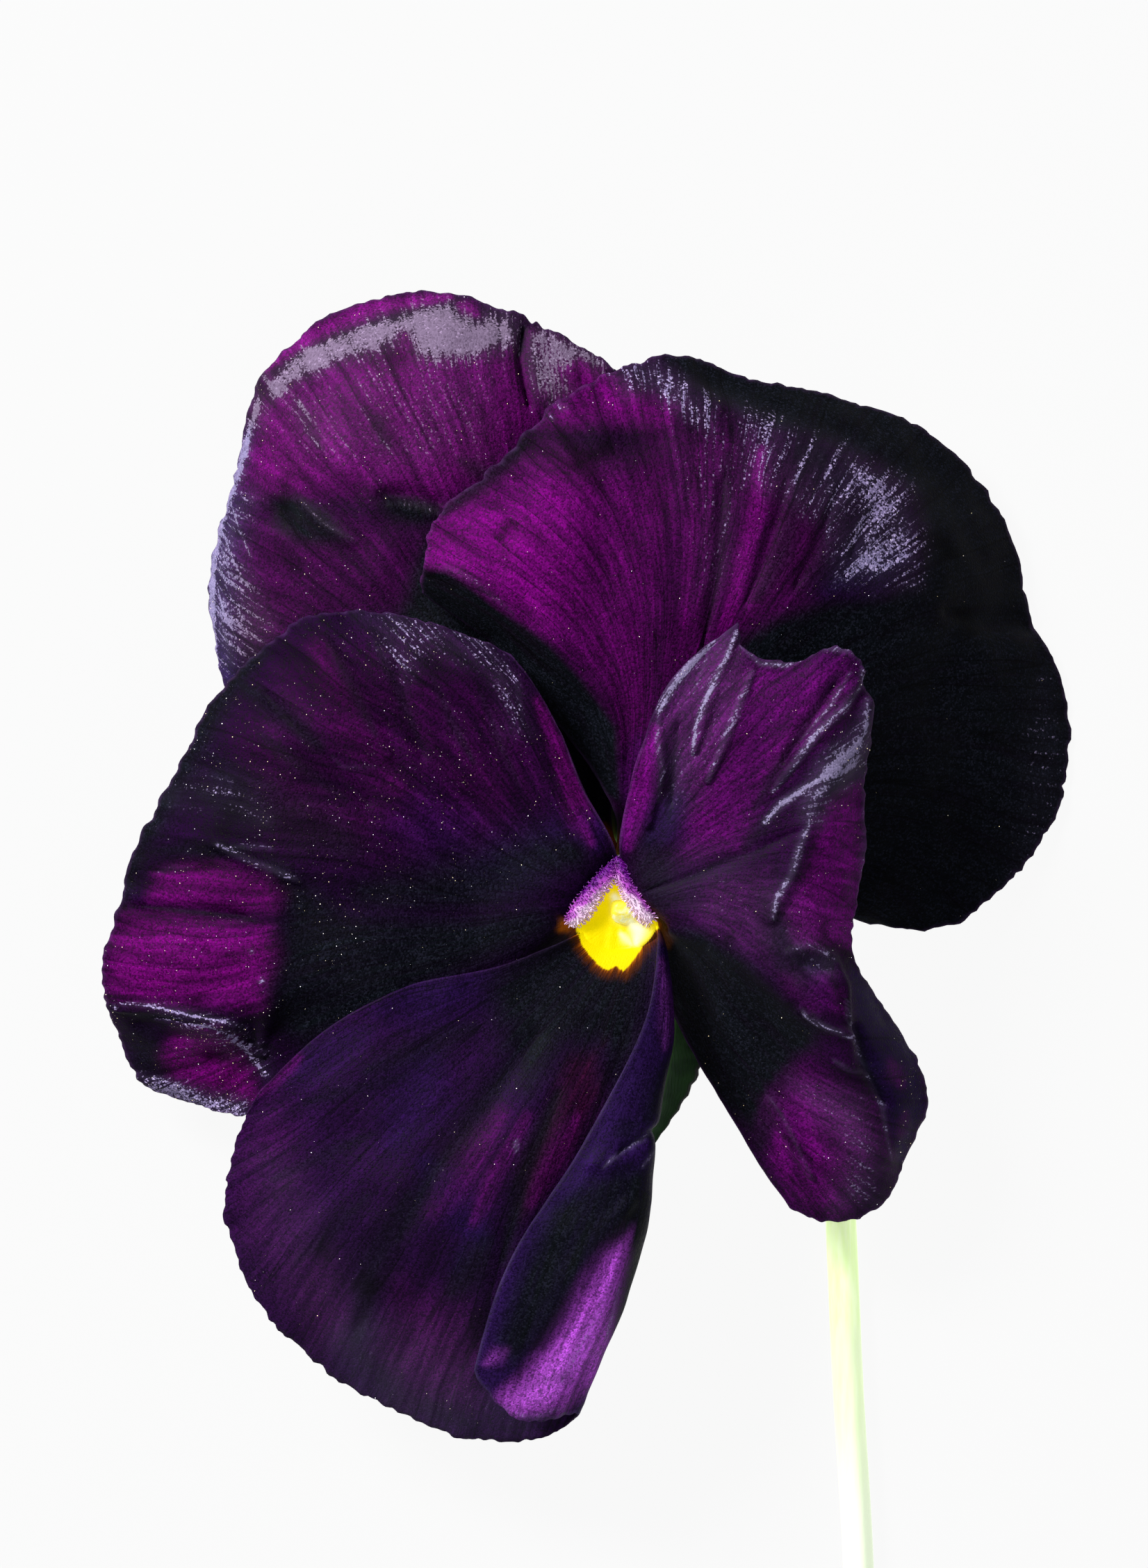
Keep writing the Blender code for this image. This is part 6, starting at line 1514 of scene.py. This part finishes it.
def stalk_curve(name, path, steps):
    """A poly curve with a radius at each point, read from a smooth line through the stations."""
    table = np.array([centre + (radius,) for centre, radius in path])
    places = np.linspace(0, len(path) - 1, (len(path) - 1) * steps + 1)
    rows = spline_weights(knots_for(table[:, :3]), places) @ table
    curve = bpy.data.curves.new(name, "CURVE")
    curve.dimensions = "3D"
    spline = curve.splines.new("POLY")
    spline.points.add(len(rows) - 1)
    for point, (x, y, z, radius) in zip(spline.points, rows):
        point.co = (x * MM, y * MM, z * MM, 1)
        point.radius = radius * MM
    made = bpy.data.objects.new(name, curve)
    bpy.context.scene.collection.objects.link(made)
    return made


stem = grown("stem_fine", stalk_curve("stem_line", STEM, 8), stalk_tree, {
    "Ridges": 5, "Ridge Depth": 0.035, "Sides": 40, "Material": stem_look,
})
for vertex in stem.data.vertices:
    vertex.co.z = max(vertex.co.z, 0.0)
BRACTEOLES = (
    ("bracteole_low", (((13.0, -2.4, 1.5), 0.45), ((13.9, -1.4, 2.1), 0.55), ((14.6, 0.2, 2.5), 0.42),
        ((15.0, 2.0, 2.7), 0.12))),
    ("bracteole_high", (((9.6, 3.9, 1.6), 0.45), ((10.6, 4.8, 2.1), 0.55), ((11.2, 6.2, 2.4), 0.42),
        ((11.4, 7.9, 2.5), 0.12))),
)
bracteoles = [
    grown(name, stalk_curve("scale_line", path, 8), stalk_tree, {
        "Ridges": 2, "Ridge Depth": 0.28, "Sides": 20, "Material": stem_look,
    })
    for name, path in BRACTEOLES
]

# %% [markdown]
# A sepal is a small stiff leaf with a midrib, side veins and a toothed edge, and a short ear that
# runs back past where it joins the stem. It is lofted along the same centre line as the solid.

# %% Sepals
SEAT = (0.5, 2.6)
SEPAL_SEAT = 2.9
SEPAL_Z = 4.9
SEPALS = (
    ("sepal_top", 96, (-0.3, 11.4, 5.6), (-0.9, 18.5, 4.6), 2.1),
    ("sepal_left", 164, (-7.0, 5.0, 5.9), (-13.6, 6.3, 5.0), 2.2),
    ("sepal_lower_left", 220, (-5.6, -3.6, 6.7), (-9.8, -10.2, 6.2), 2.3),
    ("sepal_lower_right", 306, (4.0, -6.4, 6.8), (2.2, -15.0, 6.0), 2.5),
    ("sepal_right", 14, (8.8, 4.2, 5.4), (15.4, 5.3, 4.2), 2.1),
)
SEPAL_COLUMNS = 24
SEPAL_WALL = 0.45


def sepal_surface(angle, middle, tip, half_width):
    """The face of a sepal, from its ear behind the seat to its tip."""
    turn = math.radians(angle)
    out = np.array([math.cos(turn), math.sin(turn), 0.0])
    seat = np.array([SEAT[0], SEAT[1], SEPAL_Z]) + SEPAL_SEAT * out
    line = np.array([seat + 0.9 * out - [0, 0, 2.6], seat, seat + 0.9 * out + [0, 0, 1.2], middle, tip])
    half = np.array([0.35, 0.6, 0.95, half_width, 0.2])
    weights = spline_weights(knots_for(line), stepped((8, 6, 16, 26)))
    centres, halves = weights @ line, weights @ half
    ahead = unit(np.gradient(centres, axis=0))
    round_seat = np.array([-math.sin(turn), math.cos(turn), 0.0])
    rows = []
    for number, (centre, width, axis) in enumerate(zip(centres, halves, ahead)):
        side = unit(round_seat - axis * axis.dot(round_seat))
        back = np.cross(side, axis)
        tooth = 1 + 0.05 * math.sin(number * 1.9)
        row = []
        for s in np.linspace(-1, 1, SEPAL_COLUMNS + 1):
            cup = 0.12 * width * (1 - s * s) - 0.1 * math.exp(-((s * width / 0.16) ** 2))
            row.append(centre + s * width * tooth * side + cup * back)
        rows.append(row)
    return np.array(rows)


sepal_look, g, shader = new_look("sepal_leaf", 0.45, 0.35)
places = g.split(g.add("ShaderNodeUVMap", uv_map="places").outputs[0])
spot = g.spot()
middle = g.math("ABSOLUTE", g.math("SUBTRACT", places["X"], 0.5))
midrib = g.ramp(middle, 0.0, 0.06, 1.0, 0.0)
slant = g.math("SUBTRACT", g.math("MULTIPLY", places["Y"], 22.0), g.math("MULTIPLY", middle, 16.0))
side_vein = g.ramp(g.math("ABSOLUTE", g.math("SUBTRACT", g.math("FRACT", slant), 0.5)), 0.0, 0.09, 0.6, 0.0)
mottle = g.noise(spot, 900.0, 3.0)
leaf = g.mix(g.ramp(mottle, 0.3, 0.7), (0.008, 0.040, 0.006), (0.022, 0.085, 0.014))
leaf = g.mix(g.math("MAXIMUM", midrib, side_vein), leaf, (0.07, 0.17, 0.04))
leaf = g.mix(g.ramp(middle, 0.42, 0.5, 0.0, 0.7), leaf, (0.06, 0.03, 0.05))
g.put(shader.inputs["Base Color"], leaf)
relief_height = g.math("SUBTRACT", g.math("MULTIPLY", mottle, 0.4), g.math("MAXIMUM", midrib, side_vein))
g.put(shader.inputs["Normal"], g.bump(relief_height, 0.6, 0.0001))

sepals = []
for name, angle, middle, tip, half_width in SEPALS:
    surface = sepal_surface(angle, middle, tip, half_width)
    vertices, faces, _ = sheet(surface, normals_of(surface) * SEPAL_WALL / 2)
    piece = new_piece(name + "_fine", vertices, faces, (sepal_look,))
    up, over = (np.linspace(0, 1, count) for count in surface.shape[:2])
    grid = np.stack(np.meshgrid(up, over, indexing="ij")[::-1], axis=-1)
    lay_places(piece, np.tile(grid.reshape(-1, 2), (2, 1)))
    sepals.append((piece, name))
print("sepals", len(sepals))

# %% [markdown]
# In the throat stand a globe-shaped stigma on a bent style, and five anthers edge to edge round it,
# each with an orange flap at its tip. One anther is modelled and Geometry Nodes repeat it five times.

# %% The pistil
PISTIL = (
    ((0.5, 2.4, 6.35), 0.35),
    ((0.5, 2.4, 6.7), 0.55),
    ((0.5, 2.4, 7.6), 0.62),
    ((0.5, 2.4, 8.4), 0.52),
    ((0.5, 2.3, 9.0), 0.34),
    ((0.5, 2.0, 9.7), 0.27),
    ((0.55, 1.5, 10.5), 0.32),
    ((0.6, 1.2, 11.0), 0.5),
    ((0.65, 0.95, 11.5), 0.72),
    ((0.75, 0.75, 11.95), 0.74),
    ((0.8, 0.65, 12.3), 0.5),
    ((0.8, 0.6, 12.45), 0.2),
)
DIMPLE, DIMPLE_REACH = (0.9, 0.2, 12.1), (0.34, 0.3, 0.34)
STIGMA_CENTRE, STIGMA_BASE = (0.7, 0.9, 11.8), 11.2
vertices, faces = tube(PISTIL, 32, 8)
dimple = np.linalg.norm((vertices - np.array(DIMPLE)) / np.array(DIMPLE_REACH), axis=1)
hollow = 0.2 * np.exp(-(dimple ** 2)) + 0.1 * smooth_noise(vertices, 0.55, 71.0)
hollow = hollow * (vertices[:, 2] > STIGMA_BASE)
vertices = vertices - unit(vertices - np.array(STIGMA_CENTRE)) * hollow[:, None]
pistil_look, g, shader = new_look("pistil_moist", 0.5, 0.3, Emission_Strength=1.0)
spot = g.spot()
level = g.split(spot)["Z"]
speckle = g.noise(spot, 3200.0, 2.0)
tone = g.mix(g.ramp(level, 0.0085, 0.0112), (0.15, 0.21, 0.04), (0.46, 0.39, 0.02))
# Pale blotches on the stigma: partly its own pale colour, partly painted highlight.
blotch = g.plus(g.math("MULTIPLY", speckle, 0.4), g.noise(spot, 900.0, 1.0), 0.6)
tone = g.mix(g.ramp(blotch, 0.48, 0.66), tone, (0.47, 0.48, 0.28))
g.put(shader.inputs["Base Color"], tone)
# Above its base the stigma glows with its own tone: painted light that evens out its shading.
g.put(shader.inputs["Emission Color"], g.mix(g.ramp(level, 0.0105, 0.0115), (0.0, 0.0, 0.0), tone))
g.put(shader.inputs["Normal"], g.bump(speckle))
pistil = new_piece("pistil_fine", vertices, faces, (pistil_look,))

# %% One anther
def anther_mesh():
    """Two pollen sacs side by side under a pointed flap, standing at the ring's edge and facing out."""
    rows = (
        (0.0, 0.30, 0.12), (0.15, 0.46, 0.2), (0.6, 0.54, 0.23), (1.2, 0.55, 0.22), (1.6, 0.5, 0.18),
        (1.9, 0.42, 0.12), (2.3, 0.26, 0.08), (2.65, 0.1, 0.05),
    )
    sides = 20
    vertices = []
    for rise, half, depth in rows:
        for k in range(sides):
            turn = 2 * math.pi * k / sides
            groove = 1 - 0.45 * math.exp(-((math.cos(turn) / 0.3) ** 2)) * (rise < 1.7)
            vertices.append((depth * math.sin(turn) * groove, half * math.cos(turn), rise))
    faces = [(a, b, b + sides, a + sides) for a, b in neighbours(len(rows) - 1, sides)]
    faces.append(tuple(reversed(range(sides))))
    faces.append(tuple((len(rows) - 1) * sides + k for k in range(sides)))
    return vertices, faces


anther_tree, g, given, result = new_growth(
    "ring_of_anthers", ("Count", "Int", 5), ("Ring Radius", "Float", 0.0012),
    ("Centre", "Vector", (0.0, 0.0, 0.0)),
)
ring = g.add("GeometryNodeMeshCircle", {"Vertices": given["Count"], "Radius": given["Ring Radius"]})
order = g.add("GeometryNodeInputIndex").outputs[0]
turn = g.math("DIVIDE", g.math("MULTIPLY", order, 2 * math.pi), given["Count"])
row = g.add("GeometryNodeInstanceOnPoints", {
    "Points": ring.outputs[0], "Instance": given["Geometry"], "Rotation": g.xyz(z=turn),
})
row = g.add("GeometryNodeRealizeInstances", {"Geometry": row.outputs[0]})
row = g.add("GeometryNodeTransform", {
    "Geometry": row.outputs[0], "Translation": given["Centre"], "Rotation": (0, 0, math.pi / 2),
})
end_growth(g, row.outputs[0], given, result)

anther_look, g, shader = new_look("anther_powder", 0.7, 0.25)
spot = g.spot()
level = g.split(spot)["Z"]
powder = g.noise(spot, 5200.0, 2.0)
tone = g.mix(g.ramp(level, 0.0080, 0.0087), (0.72, 0.66, 0.40), (0.55, 0.17, 0.02))
g.put(shader.inputs["Base Color"], g.mix(g.ramp(powder, 0.5, 0.75, 0.0, 0.6), tone, (0.85, 0.72, 0.35)))
g.put(shader.inputs["Normal"], g.bump(powder, 0.7))
vertices, faces = anther_mesh()
RING_RADIUS, RING_CENTRE = 1.17, (0.5, 2.4, 6.5)
stamens = grown("stamens_fine", new_piece("one_anther", vertices, faces, ()), anther_tree, {
    "Count": 5, "Ring Radius": RING_RADIUS * MM, "Centre": tuple(k * MM for k in RING_CENTRE),
    "Material": anther_look,
})

# %% [markdown]
# A plain pale floor, lit from within like a light table so that no shadow competes with the petals,
# and two soft lamps, the stronger one from the upper left. The camera looks straight down from far
# away with a long lens, as the bloom lies on its back.

# %% Floor, lamps and camera
FLOOR_HALF, FLOOR_DROP, FLOOR_GLOW = 900, 0.00002, 0.932
BLOOM_MIDDLE = (0.0, 0.008, 0.005)
CAMERA_PLACE, LENS, SENSOR = (-0.00245, 0.00918, 1.436), 500, 36
AMBIENT, BACKDROP = (0.16, 0.165, 0.18), (0.956, 0.956, 0.956)

corners = [(x * FLOOR_HALF, y * FLOOR_HALF, 0) for x, y in ((-1, -1), (1, -1), (1, 1), (-1, 1))]
floor_look, _, _ = new_look(
    "pale_floor", 0.9, 0.1, Base_Color=(0.02, 0.02, 0.02, 1), Emission_Color=(1.0, 1.0, 1.0, 1),
    Emission_Strength=FLOOR_GLOW,
)
floor = new_piece("floor", corners, [(0, 1, 2, 3)], (floor_look,))
floor.location.z = -FLOOR_DROP


def lamp(name, direction, distance, size, power, colour):
    """A square soft lamp aimed at the middle of the bloom."""
    light = bpy.data.lights.new(name, "AREA")
    light.shape = "SQUARE"
    light.size = size
    light.energy = power
    light.color = colour
    made = bpy.data.objects.new(name, light)
    target = Vector(BLOOM_MIDDLE)
    way = Vector(direction).normalized()
    made.location = target + way * distance
    made.rotation_euler = way.to_track_quat("Z", "Y").to_euler()
    made.visible_camera = False
    bpy.context.scene.collection.objects.link(made)


lamp("key_lamp", (-0.55, 0.5, 0.67), 0.7, 0.22, 7.5, (1.0, 1.0, 1.0))
lamp("fill_lamp", (0.3, -0.6, 0.75), 0.9, 0.6, 1.4, (0.9, 0.93, 1.0))

world = bpy.data.worlds.new("studio")
world.use_nodes = True
bpy.context.scene.world = world
g = Graph(world.node_tree)
ground = world.node_tree.nodes["Background"]
seen = g.add("ShaderNodeLightPath").outputs["Is Camera Ray"]
g.put(ground.inputs["Color"], g.mix(seen, AMBIENT, BACKDROP))

camera_data = bpy.data.cameras.new("camera")
camera_data.lens = LENS
camera_data.sensor_width = SENSOR
camera_data.clip_start = 0.1
camera_data.clip_end = 10
camera = bpy.data.objects.new("camera", camera_data)
camera.location = CAMERA_PLACE
bpy.context.scene.collection.objects.link(camera)
bpy.context.scene.camera = camera
bpy.context.scene.view_settings.view_transform = "Standard"

# %% [markdown]
# Last, every piece is joined to the body it rides on, and the solid it stands for is hidden.

# %% Joining the pieces to the frame
def stand_for(piece, node):
    """Joins a piece to the one body and hides the solid that it stands for."""
    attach(piece, "root")
    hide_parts(node)


for name, piece in petals.items():
    stand_for(piece, name)
for piece, name in sepals:
    stand_for(piece, name)
stand_for(stem, "stem")
stand_for(pistil, "pistil")
stand_for(stamens, "stamens")
for piece, slot in beards + pollen + [(scale, "stem") for scale in bracteoles]:
    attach(piece, "root")
